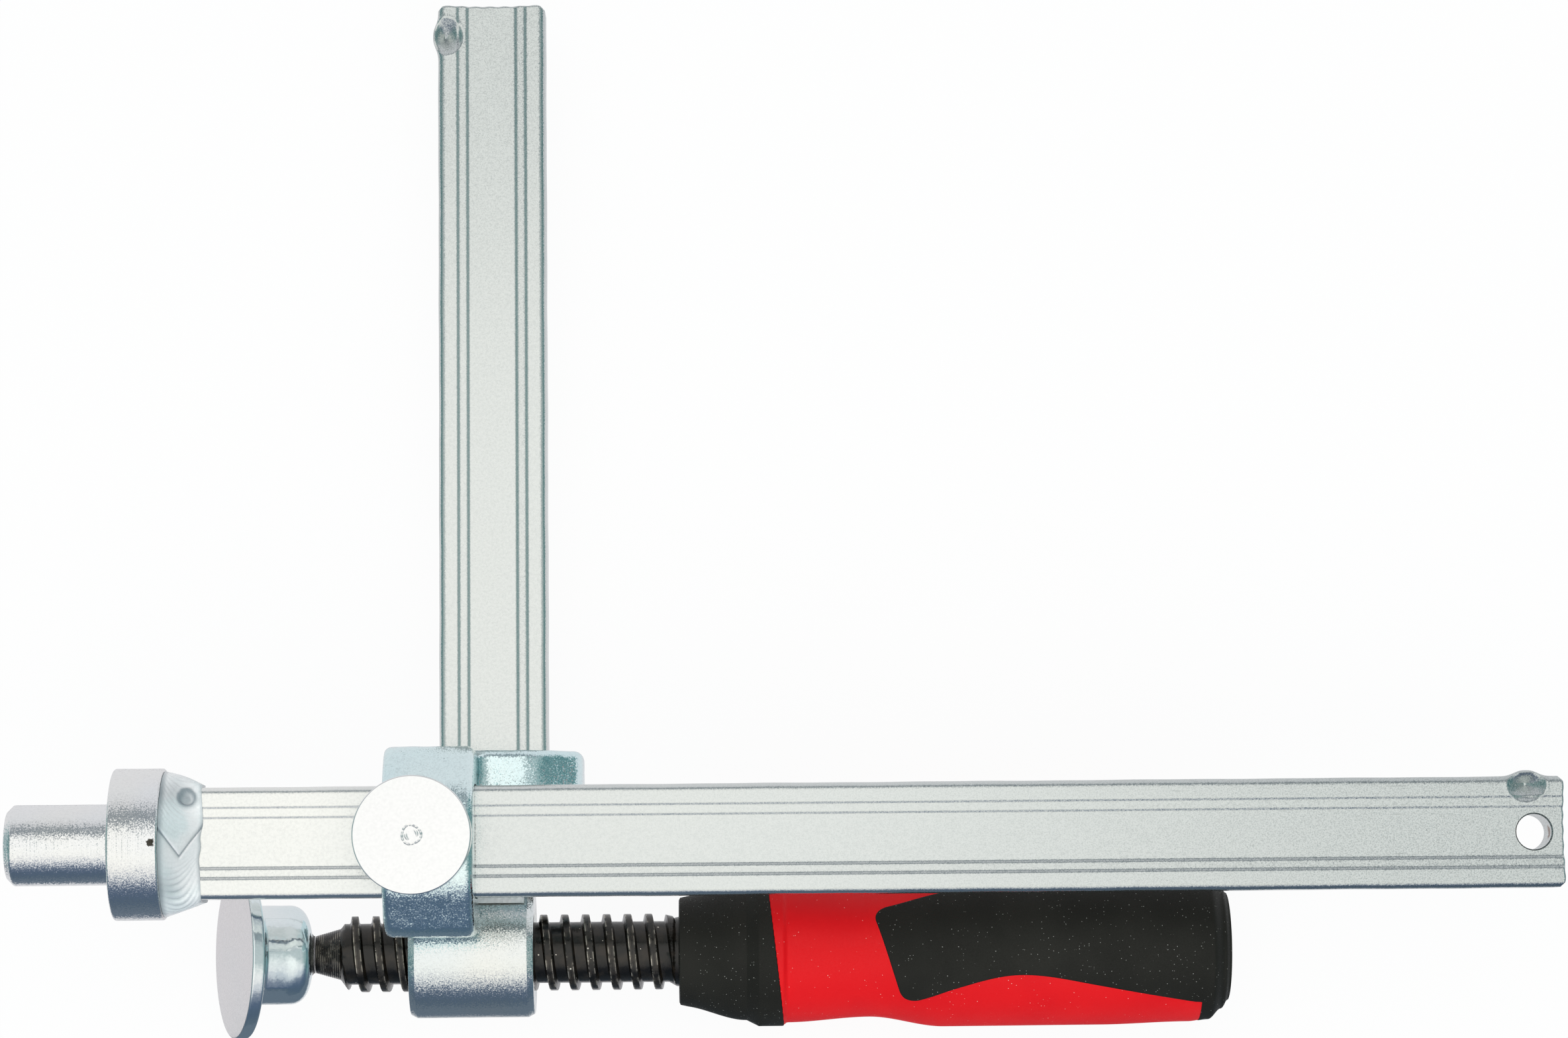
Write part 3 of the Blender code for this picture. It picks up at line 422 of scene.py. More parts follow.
class Graph:
    """Writes the nodes of one tree."""

    def __init__(self, tree: Tree) -> None:
        """Starts on a tree."""
        self.tree = tree

    def add(self, kind: str, values: dict | None = None, **settings) -> bpy.types.Node:
        """Adds a node.

        Args:
            kind: Node type without its ShaderNode prefix.
            values: Inputs by name or index, as sockets to link or constants.
            settings: Properties of the node.

        Returns:
            The node.
        """
        node = self.tree.nodes.new("ShaderNode" + kind)
        for key, value in settings.items():
            setattr(node, key, value)
        for key, value in (values or {}).items():
            self.feed(node.inputs[key], value)
        return node

    def feed(self, socket: Socket, value: Socket | float | Sequence[float]) -> None:
        """Links a socket or sets its constant; a colour gets its fourth number, 1."""
        if isinstance(value, bpy.types.NodeSocket):
            self.tree.links.new(value, socket)
        elif socket.type == "RGBA":
            socket.default_value = (*value, 1.0)
        else:
            socket.default_value = value

    def math(self, operation: str, a: Socket | float, b: Socket | float = 0.0,
             clamp: bool = False) -> Socket:
        """One Math node's result."""
        return self.add("Math", {0: a, 1: b}, operation=operation, use_clamp=clamp).outputs[0]

    def vector(self, operation: str, values: dict) -> Socket:
        """One Vector Math node's vector."""
        return self.add("VectorMath", values, operation=operation).outputs[0]

    def use(self, tree: Tree, **values: Socket | float | Sequence[float]) -> bpy.types.Node:
        """A group node with its inputs set."""
        return self.add("Group", values, node_tree=tree)

    def axes(self) -> bpy.types.bpy_prop_collection:
        """Object coordinates as the outputs X, Y and Z."""
        return self.add("SeparateXYZ", {0: self.add("TexCoord").outputs["Object"]}).outputs

    def mix(self, share: Socket | float, a: Socket | Colour, b: Socket | Colour) -> Socket:
        """Colour mixed from a to b."""
        node = self.add("Mix", data_type="RGBA")
        for index, value in ((0, share), (6, a), (7, b)):
            self.feed(node.inputs[index], value)
        return node.outputs[2]

    def span(self, value: Socket, low: float, high: float, start: float = 0.0,
             end: float = 1.0) -> Socket:
        """Value mapped smoothly from low..high to start..end."""
        return self.add("MapRange", {"Value": value, "From Min": low, "From Max": high,
                                     "To Min": start, "To Max": end},
                        interpolation_type="SMOOTHSTEP").outputs["Result"]

    def place(self, scale: Sequence[float] = (1.0, 1.0, 1.0)) -> Socket:
        """Object coordinates, stretched."""
        coordinates = self.add("TexCoord").outputs["Object"]
        return self.add("Mapping", {"Vector": coordinates, "Scale": scale}).outputs["Vector"]

    def noise(self, vector: Socket, scale: Socket | float, detail: float = 2.0,
              rough: float = 0.5) -> Socket:
        """Noise value of about 0..1."""
        return self.add("TexNoise", {"Vector": vector, "Scale": scale, "Detail": detail,
                                     "Roughness": rough}).outputs[0]

    def lean(self, vector: Socket, amount: Socket | float, normal: Socket) -> Socket:
        """Normal tilted by a random vector whose mean is one half: N + amount (v - 1/2)."""
        away = self.vector("SUBTRACT", {0: vector, 1: (0.5, 0.5, 0.5)})
        part = self.vector("SCALE", {0: away, "Scale": amount})
        return self.vector("NORMALIZE", {0: self.vector("ADD", {0: normal, 1: part})})


def group(name: str, inputs: dict[str, tuple[str, object]], outputs: dict[str, str],
          write: Callable[[Graph, Sockets], Sockets]) -> Tree:
    """Makes a shader group once.

    Args:
        name: Name of the group.
        inputs: Socket type and default of each input.
        outputs: Socket type of each output.
        write: Builds the nodes from the inputs and returns the sockets of the outputs.

    Returns:
        The group's tree.
    """
    tree = bpy.data.node_groups.new(name, "ShaderNodeTree")
    for label, (kind, default) in inputs.items():
        socket = tree.interface.new_socket(label, in_out="INPUT", socket_type="NodeSocket" + kind)
        if default is not None:
            socket.default_value = default
    for label, kind in outputs.items():
        tree.interface.new_socket(label, in_out="OUTPUT", socket_type="NodeSocket" + kind)
    entry, leave = tree.nodes.new("NodeGroupInput"), tree.nodes.new("NodeGroupOutput")
    made = write(Graph(tree), {label: entry.outputs[label] for label in inputs})
    for label, socket in made.items():
        tree.links.new(socket, leave.inputs[label])
    return tree


def write_grain(graph: Graph, inputs: Sockets) -> Sockets:
    """Blasted grain: each grain tilts the surface its own way, over a slow unevenness."""
    place = graph.place()
    grains = graph.add("TexNoise", {"Vector": place, "Scale": inputs["Scale"], "Detail": 2.0,
                                    "Roughness": 0.6})
    level = graph.add("NewGeometry").outputs["Normal"]
    tilted = graph.lean(grains.outputs["Color"], inputs["Depth"], level)
    coarse = graph.noise(place, graph.math("MULTIPLY", inputs["Scale"], 0.12), 2.0)
    sagged = graph.add("Bump", {"Height": coarse, "Strength": inputs["Sag"],
                                "Distance": 0.06 * MM, "Normal": tilted})
    return {"Normal": sagged.outputs["Normal"]}


def write_tone(graph: Graph, inputs: Sockets) -> Sockets:
    """Plating tone: slow drift from the warm to the cool colour, dulled in fine specks."""
    speck_scale, speck_grey = 1900.0, (0.40, 0.42, 0.43)
    place = graph.place()
    drift = graph.noise(place, inputs["Scale"], 1.0)
    fine = graph.noise(place, speck_scale, 2.0)
    colour = graph.mix(graph.span(drift, 0.34, 0.66), inputs["Warm"], inputs["Cool"])
    share = graph.span(fine, 0.40, 0.72, 0.0, inputs["Speck"])
    return {"Color": graph.mix(share, colour, speck_grey), "Haze": fine}


def write_rings(graph: Graph, inputs: Sockets) -> Sockets:
    """Tool marks: lines across X that tilt the surface along X, stronger in some patches."""
    patch_scale, faintest = 260.0, 0.25
    fine = graph.add("TexNoise", {"W": graph.axes()["X"], "Scale": inputs["Scale"],
                                  "Detail": 3.0}, noise_dimensions="1D").outputs[0]
    patch = graph.span(graph.noise(graph.place((0.4, 1.0, 1.0)), patch_scale, 2.0), 0.42, 0.62,
                       faintest, 1.0)
    vector = graph.add("CombineXYZ", {"X": fine, "Y": 0.5, "Z": 0.5}).outputs[0]
    amount = graph.math("MULTIPLY", inputs["Depth"], patch)
    return {"Normal": graph.lean(vector, amount, inputs["Normal"])}


def write_dust(graph: Graph, inputs: Sockets) -> Sockets:
    """Scattered pale specks: the few cells whose random value passes the Share."""
    largest = 0.32
    cell = graph.add("TexVoronoi", {"Vector": graph.place(), "Scale": inputs["Scale"]},
                     feature="F1")
    chance = graph.add("SeparateXYZ", {0: cell.outputs["Color"]})
    chosen = graph.math("LESS_THAN", chance.outputs["X"], inputs["Share"])
    size = graph.math("MULTIPLY", chance.outputs["Y"], largest)
    near = graph.math("LESS_THAN", cell.outputs["Distance"], size)
    return {"Mask": graph.math("MULTIPLY", chosen, near)}


def write_mould(graph: Graph, inputs: Sockets) -> Sockets:
    """Eroded mould grain of plastic: low rounded pebbles that tilt the surface."""
    pebbles = graph.add("TexNoise", {"Vector": graph.place(), "Scale": inputs["Scale"],
                                     "Detail": 1.0})
    level = graph.add("NewGeometry").outputs["Normal"]
    return {"Normal": graph.lean(pebbles.outputs["Color"], inputs["Depth"], level),
            "Height": pebbles.outputs[0]}


def write_stain(graph: Graph, inputs: Sockets) -> Sockets:
    """Ragged spot round a point: distance in radii plus noise, cut off at about one."""
    ragged_scale, raggedness = 1700.0, 1.3
    coordinates = graph.add("TexCoord").outputs["Object"]
    away = graph.add("VectorMath", {0: coordinates, 1: inputs["Place"]},
                     operation="DISTANCE").outputs["Value"]
    ragged = graph.math("MULTIPLY", graph.noise(graph.place(), ragged_scale, 2.0), raggedness)
    total = graph.math("ADD", graph.math("DIVIDE", away, inputs["Radius"]), ragged)
    return {"Mask": graph.span(total, 1.25, 1.55, 1.0, 0.0)}


def write_wear(graph: Graph, inputs: Sockets) -> Sockets:
    """Dulling along the bars towards their free ends, and fine scratches that grow with it."""
    across_bars = (70.0, 1800.0, 1800.0)
    place = graph.axes()
    near, far, rise = (graph.span(place[axis], low, high, 0.0, most) for axis, low, high, most in (
        ("X", 0.058, 0.088, 0.48), ("X", 0.110, 0.310, 0.50), ("Y", 0.070, 0.172, 0.36)))
    wear = graph.math("ADD", graph.math("ADD", near, far), rise, True)
    lines = graph.noise(graph.place(across_bars), 1.0, 1.0)
    level = graph.math("MULTIPLY", far, graph.span(place["Y"], 0.012, 0.014, 1.4, 0.0))
    return {"Wear": wear, "Scratch": graph.math("MULTIPLY", graph.span(lines, 0.76, 0.82), level),
            "Grain": graph.math("POWER", wear, 2.5)}


@dataclass(frozen=True)
class ShaderKit:
    """The shader groups that several finishes share."""
    grain: Tree
    tone: Tree
    rings: Tree
    dust: Tree
    mould: Tree
    stain: Tree
    wear: Tree

    @classmethod
    def make(cls) -> "ShaderKit":
        """Builds each group once."""
        relief = {"Scale": ("Float", 1000.0), "Depth": ("Float", 0.5)}
        drift = {"Warm": ("Color", None), "Cool": ("Color", None), "Scale": ("Float", 40.0),
                 "Speck": ("Float", 0.15)}
        normal, mask = {"Normal": "Vector"}, {"Mask": "Float"}
        return cls(
            group("blasted grain", {**relief, "Sag": ("Float", 1.0)}, normal, write_grain),
            group("plating tone", drift, {"Color": "Color", "Haze": "Float"}, write_tone),
            group("tool marks", {**relief, "Normal": ("Vector", None)}, normal, write_rings),
            group("dust specks", {"Scale": ("Float", 600.0), "Share": ("Float", 0.05)}, mask,
                  write_dust),
            group("mould grain", relief, {**normal, "Height": "Float"}, write_mould),
            group("stain", {"Place": ("Vector", None), "Radius": ("Float", MM)}, mask,
                  write_stain),
            group("bar wear", {}, {"Wear": "Float", "Scratch": "Float", "Grain": "Float"},
                  write_wear))


@dataclass(frozen=True)
class Finish:
    """A material's recipe."""
    name: str

    def surface(self, graph: Graph, kit: ShaderKit) -> dict[str, Socket | float]:
        """Inputs of the surface shader; each kind of finish gives its own."""
        raise NotImplementedError

    def make(self, kit: ShaderKit) -> Material:
        """Builds the material.

        Args:
            kit: Shared shader groups.

        Returns:
            The material.
        """
        material = bpy.data.materials.new(self.name)
        material.use_nodes = True
        graph = Graph(material.node_tree)
        shader = material.node_tree.nodes["Principled BSDF"]
        for label, value in self.surface(graph, kit).items():
            graph.feed(shader.inputs[label], value)
        return material


@dataclass(frozen=True)
class Stain:
    """A burnt or rusty spot: its place and radius in millimetres, and its colour."""
    place: Place
    radius: float
    colour: Colour


@dataclass(frozen=True)
class ZincFinish(Finish):
    """Zinc plating over blasted, rolled, turned or welded steel."""
    warm: Colour
    cool: Colour
    rough: float
    grain: float
    depth: float
    sag: float
    drift: float
    speck: float
    metal: float = 1.0
    ring_scale: float = 0.0
    ring_depth: float = 0.0
    stain: Stain | None = None
    dulled: Colour | None = None
    # Grey of the painted shade that a point attribute lays on the weld.
    painted_shade: Colour | None = None

    def dull(self, graph: Graph, kit: ShaderKit, colour: Socket, depth: Socket) -> Socket:
        """Colour dulled, pitted and scratched along the bars, where the grain deepens too."""
        pit_scale, pit_share, pit_grey, deeper = 3400.0, 0.34, (0.24, 0.26, 0.26), 0.5
        wear = graph.use(kit.wear).outputs
        colour = graph.mix(wear["Wear"], colour, self.dulled)
        fine = graph.noise(graph.place(), pit_scale, 1.0)
        pits = graph.math("MULTIPLY", wear["Grain"], graph.span(fine, 0.46, 0.64, 0.0, pit_share))
        colour = graph.mix(graph.math("MAXIMUM", pits, wear["Scratch"]), colour, pit_grey)
        graph.feed(depth, graph.math("ADD", self.depth,
                                     graph.math("MULTIPLY", wear["Grain"], deeper)))
        return colour

    def surface(self, graph: Graph, kit: ShaderKit) -> dict[str, Socket | float]:
        """Tone and grain, with dulling, tool marks, painted shade and a stain where they are set.

        Args:
            graph: Graph of the new material.
            kit: Shared shader groups.

        Returns:
            Values and sockets for the shader's inputs.
        """
        tone = graph.use(kit.tone, Warm=self.warm, Cool=self.cool, Scale=self.drift,
                         Speck=self.speck).outputs
        grain = graph.use(kit.grain, Scale=self.grain, Depth=self.depth, Sag=self.sag)
        normal, colour, metal = grain.outputs["Normal"], tone["Color"], self.metal
        if self.dulled:
            colour = self.dull(graph, kit, colour, grain.inputs["Depth"])
        if self.ring_depth:
            normal = graph.use(kit.rings, Scale=self.ring_scale, Depth=self.ring_depth,
                               Normal=normal).outputs[0]
        # Painted shade: the attribute darkens the weld towards this grey in its grooves, ripple
        # troughs, borders and patches.
        if self.painted_shade:
            deep = graph.add("Attribute", attribute_name="wear_and_shade").outputs["Fac"]
            colour = graph.mix(deep, colour, self.painted_shade)
        if self.stain:
            spot = graph.use(kit.stain, Place=[value * MM for value in self.stain.place],
                             Radius=self.stain.radius * MM).outputs[0]
            colour = graph.mix(spot, colour, self.stain.colour)
            metal = graph.math("SUBTRACT", self.metal, spot, True)
        return {"Base Color": colour, "Metallic": metal, "Normal": normal,
                "Roughness": graph.span(tone["Haze"], 0.3, 0.7, self.rough * 0.85,
                                        self.rough * 1.15)}


@dataclass(frozen=True)
class OiledBlack(Finish):
    """Black oxide with a film of oil, worn bare along the crests of the thread."""
    colour: Colour
    brown: Colour
    bare: Colour
    dust: Colour
    rough: float

    def surface(self, graph: Graph, kit: ShaderKit) -> dict[str, Socket | float]:
        """Oxide under a drifting film, rubbed bare in patches, with tool marks and dust."""
        grain = graph.use(kit.grain, Scale=2600.0, Depth=0.18, Sag=0.5)
        rings = graph.use(kit.rings, Scale=2400.0, Depth=0.38, Normal=grain.outputs["Normal"])
        dust = graph.use(kit.dust, Scale=1700.0, Share=0.020)
        film = graph.noise(graph.place(), 420.0, 3.0)
        oxide = graph.mix(graph.span(film, 0.42, 0.70, 0.0, 0.8), self.colour, self.brown)
        corner = graph.add("Attribute", attribute_name="wear_and_shade").outputs["Fac"]
        rubbed = graph.span(graph.noise(graph.place(), 520.0, 4.0, 0.65), 0.44, 0.60)
        bare = graph.math("MULTIPLY", corner, rubbed)
        wear_and_shade = graph.mix(bare, oxide, self.bare)
        return {"Base Color": graph.mix(dust.outputs["Mask"], wear_and_shade, self.dust),
                "Roughness": graph.span(film, 0.3, 0.7, self.rough * 0.75, self.rough * 1.3),
                "Metallic": graph.math("ADD", graph.math("MULTIPLY", bare, 0.5), 0.35, True),
                "Normal": rings.outputs["Normal"], "Specular IOR Level": 0.7}


@dataclass(frozen=True)
class MouldedPlastic(Finish):
    """Moulded handle plastic with mould grain and a little dust."""
    colour: Colour
    shade: Colour
    dust: Colour
    rough: float
    scale: float
    depth: float
    dust_share: float
    gloss: float

    def surface(self, graph: Graph, kit: ShaderKit) -> dict[str, Socket | float]:
        """Slowly drifting colour under dust specks, tilted by the mould grain."""
        mould = graph.use(kit.mould, Scale=self.scale, Depth=self.depth).outputs
        dust = graph.use(kit.dust, Scale=3100.0, Share=self.dust_share).outputs
        drift = graph.span(graph.noise(graph.place(), 60.0, 3.0), 0.35, 0.7)
        colour = graph.mix(drift, self.colour, self.shade)
        return {"Base Color": graph.mix(dust["Mask"], colour, self.dust),
                "Roughness": graph.span(mould["Height"], 0.3, 0.7, self.rough, self.rough * 1.25),
                "Normal": mould["Normal"], "Specular IOR Level": self.gloss}


@dataclass(frozen=True)
class Finishes:
    """Every material of the clamp."""
    rail: Material
    turned: Material
    weld: Material
    forged: Material
    disc: Material
    nut: Material
    pad: Material
    face: Material
    oiled: Material
    red: Material
    soft: Material

    @classmethod
    def make(cls) -> "Finishes":
        """Builds the shader groups and every material from them.

        Returns:
            The materials.
        """
        burnt = Stain((29.9, 0.1, 14.95), 1.05, (0.030, 0.024, 0.014))
        rust = Stain((305.5, 0.0, 1.6), 1.6, (0.34, 0.13, 0.05))
        recipes: dict[str, Finish] = dict(
            rail=ZincFinish("rolled zinc", (0.91, 0.915, 0.885), (0.89, 0.905, 0.88), rough=0.24,
                            grain=3600.0, depth=0.26, sag=0.15, drift=9.0, speck=0.05,
                            stain=rust, dulled=(0.60, 0.64, 0.635)),
            turned=ZincFinish("turned zinc", (0.90, 0.90, 0.885), (0.88, 0.89, 0.90), rough=0.15,
                              grain=3800.0, depth=0.80, sag=0.25, drift=60.0, speck=0.08,
                              ring_scale=2600.0, ring_depth=0.55, stain=burnt),
            # The weld's grey (0.22, 0.27, 0.30) is painted shade, laid into its grooves, ripple
            # troughs, borders and patches.
            weld=ZincFinish("weld zinc", (1.0, 1.0, 1.0), (0.88, 0.95, 0.955), rough=0.12,
                            grain=2600.0, depth=0.40, sag=3.0, drift=150.0, speck=0.06,
                            metal=0.16, painted_shade=(0.22, 0.27, 0.30)),
            forged=ZincFinish("forged zinc", (0.82, 0.95, 0.955), (0.75, 0.915, 0.94), rough=0.12,
                              grain=3300.0, depth=0.90, sag=0.3, drift=50.0, speck=0.12),
            disc=ZincFinish("ground disc", (0.94, 0.94, 0.94), (0.93, 0.93, 0.93), rough=0.20,
                            grain=3000.0, depth=0.03, sag=0.0, drift=60.0, speck=0.03),
            nut=ZincFinish("drawn zinc", (0.85, 0.86, 0.83), (0.82, 0.86, 0.86), rough=0.16,
                           grain=3600.0, depth=0.85, sag=0.25, drift=60.0, speck=0.08),
            pad=ZincFinish("pressed zinc", (0.90, 0.94, 0.945), (0.82, 0.90, 0.915), rough=0.12,
                           grain=1500.0, depth=0.14, sag=0.08, drift=80.0, speck=0.05),
            face=ZincFinish("ground face", (0.815, 0.785, 0.79), (0.79, 0.78, 0.785), rough=0.30,
                            grain=2600.0, depth=0.04, sag=0.05, drift=40.0, speck=0.03),
            oiled=OiledBlack("oiled black", (0.008, 0.007, 0.005), (0.030, 0.023, 0.016),
                             bare=(0.76, 0.69, 0.58), dust=(0.62, 0.58, 0.50), rough=0.20),
            red=MouldedPlastic("moulded red", (0.82, 0.006, 0.010), (0.76, 0.004, 0.009),
                               dust=(0.90, 0.36, 0.33), rough=0.46, scale=3600.0, depth=0.20,
                               dust_share=0.040, gloss=0.20),
            soft=MouldedPlastic("soft black", (0.0125, 0.0122, 0.0095), (0.018, 0.0175, 0.014),
                                dust=(0.27, 0.27, 0.25), rough=0.55, scale=4200.0, depth=0.24,
                                dust_share=0.110, gloss=0.24))
        kit = ShaderKit.make()
        return cls(**{name: recipe.make(kit) for name, recipe in recipes.items()})


# The fixed rail with its pin

@dataclass
class FlutedRail:
    """Rolled bar with a flute in each face and a punched stop near its free end."""
    length: float
    stake_inset: float
    width: float = 22.0
    thickness: float = 10.5
    corner: float = 1.5
    flute: float = 0.78
    wall_line: tuple = ((3.63, 0.00), (3.79, 0.03), (3.92, 0.095), (4.18, 0.245), (4.31, 0.31),
                        (4.47, 0.34), (5.61, 0.44), (5.77, 0.47), (5.90, 0.535), (6.16, 0.685),
                        (6.29, 0.75), (6.45, 0.78))
    stake_from_edge: float = 1.5
    stake_depth: float = 2.7
    stake_half: float = 3.9
    stake_out: float = 2.2
    stake_in: float = 3.6
    bulge: float = 1.35
    bulge_width: float = 2.852
    bulge_height: float = 6.2
    rim_height: float = 0.05
    rim_at: float = 1.08
    rim_width: float = 0.08
    end_round: float = 0.45
    saw_cut: float = 0.9
    segments: float = 0.30
    crease: float = 34.0

    @property
    def half(self) -> float:
        """Half the bar's width."""
        return self.width / 2.0

    @property
    def thick(self) -> float:
        """Half the bar's thickness."""
        return self.thickness / 2.0

    def section(self) -> Array:
        """Closed outline of the bar.

        Formula: a corner arc, a flat flange and a flute wall of two small steps with a
        gentle land between them, mirrored to the four quarters.

        Returns:
            Points (n, 2), across and up.
        """
        arc = arc_points((self.half - self.corner, self.thick - self.corner), self.corner,
                         np.linspace(0.0, math.pi / 2.0, 8))
        wall = np.array(self.wall_line)
        deepen = self.flute / wall[-1, 1]
        quarter = np.vstack([arc, np.array((self.half, self.thick)) - wall * (1.0, deepen)])
        upper = np.vstack([quarter, quarter[::-1] * (-1.0, 1.0)])
        return densify(np.vstack([upper, -upper]), self.segments, True)

    def rings(self) -> Array:
        """Rings of the bar along X.

        Formula: the section at each station, drawn in at both ends by a quarter round and
        waved a little along its edges, then staked and sawn off.

        Returns:
            Points (stations, section, 3).
        """
        length, place, end = self.length, self.length - self.stake_inset, 0.5
        before, after = place - 7.0, place + 6.0
        marks = stations((0.0, end, 0.1), (end, before, 2.2), (before, after, 0.13),
                         (after, length - end, 0.3), (length - end, length, 0.1))
        x, y = np.meshgrid(marks, self.section()[:, 0], indexing="ij")
        z = np.meshgrid(marks, self.section()[:, 1], indexing="ij")[1]
        fall = quarter_round(np.minimum(x, length - x), self.end_round)
        y = y * (1.0 - fall / self.half)
        z = z * (1.0 - fall / self.thick)
        side = smoothstep(np.abs(y), self.half - 2.0, self.half)
        y = y + side * (0.025 * np.sin(x / 6.1 + 1.0) + 0.02 * np.sin(x / 2.3))
        z = z + 0.005 * np.sin(x / 9.0 + y * 0.4)
        y, z = self.staked(x - place, y, z)
        return np.stack([x - self.sawn(x, y, z), y, z], axis=-1)

    def staked(self, along: Array, y: Array, z: Array) -> tuple[Array, Array]:
        """Places across and up after the punch's blow.

        Formula: the edge beside the punch swells outwards by a bell curve along the bar,
        and a cone with a raised rim is pressed into the top face.

        Args:
            along: Distances from the punch's middle along the bar.
            y: Places across the bar.
            z: Places up.

        Returns:
            The new places across and up.
        """
        middle, top = self.half - self.stake_from_edge, self.thick - 1.3
        edge = smoothstep(y - middle, -self.stake_from_edge * 1.2, self.stake_from_edge)
        down = smoothstep(z, self.thick - self.bulge_height, self.thick)
        y = y + self.bulge * edge * down * bell(along, self.bulge_width, 2.6)
        reach = np.where(y > middle, self.stake_out, self.stake_in)
        away = np.hypot(along / self.stake_half, (y - middle) / reach)
        sink = (self.stake_depth * np.clip(1.0 - away, 0.0, 1.0)
                - self.rim_height * bell(away - self.rim_at, self.rim_width))
        return y, z - sink * (z > top)

    def sawn(self, x: Array, y: Array, z: Array) -> Array:
        """How far the uneven saw cut of the free end falls back along the bar."""
        corner = self.saw_cut * smoothstep(np.abs(y), self.half - 1.1, self.half + 0.2)
        uneven = 0.12 * np.sin(y * 2.1 + z) + 0.25 * (1.0 - (y / self.half) ** 2) * (z > 0.0)
        near_end = smoothstep(x, self.length - 1.2, self.length)
        return near_end * np.maximum(corner + 0.6 * uneven, 0.0)

    def shell(self) -> Shell:
        """The bar's closed surface along X."""
        return skin(self.rings())


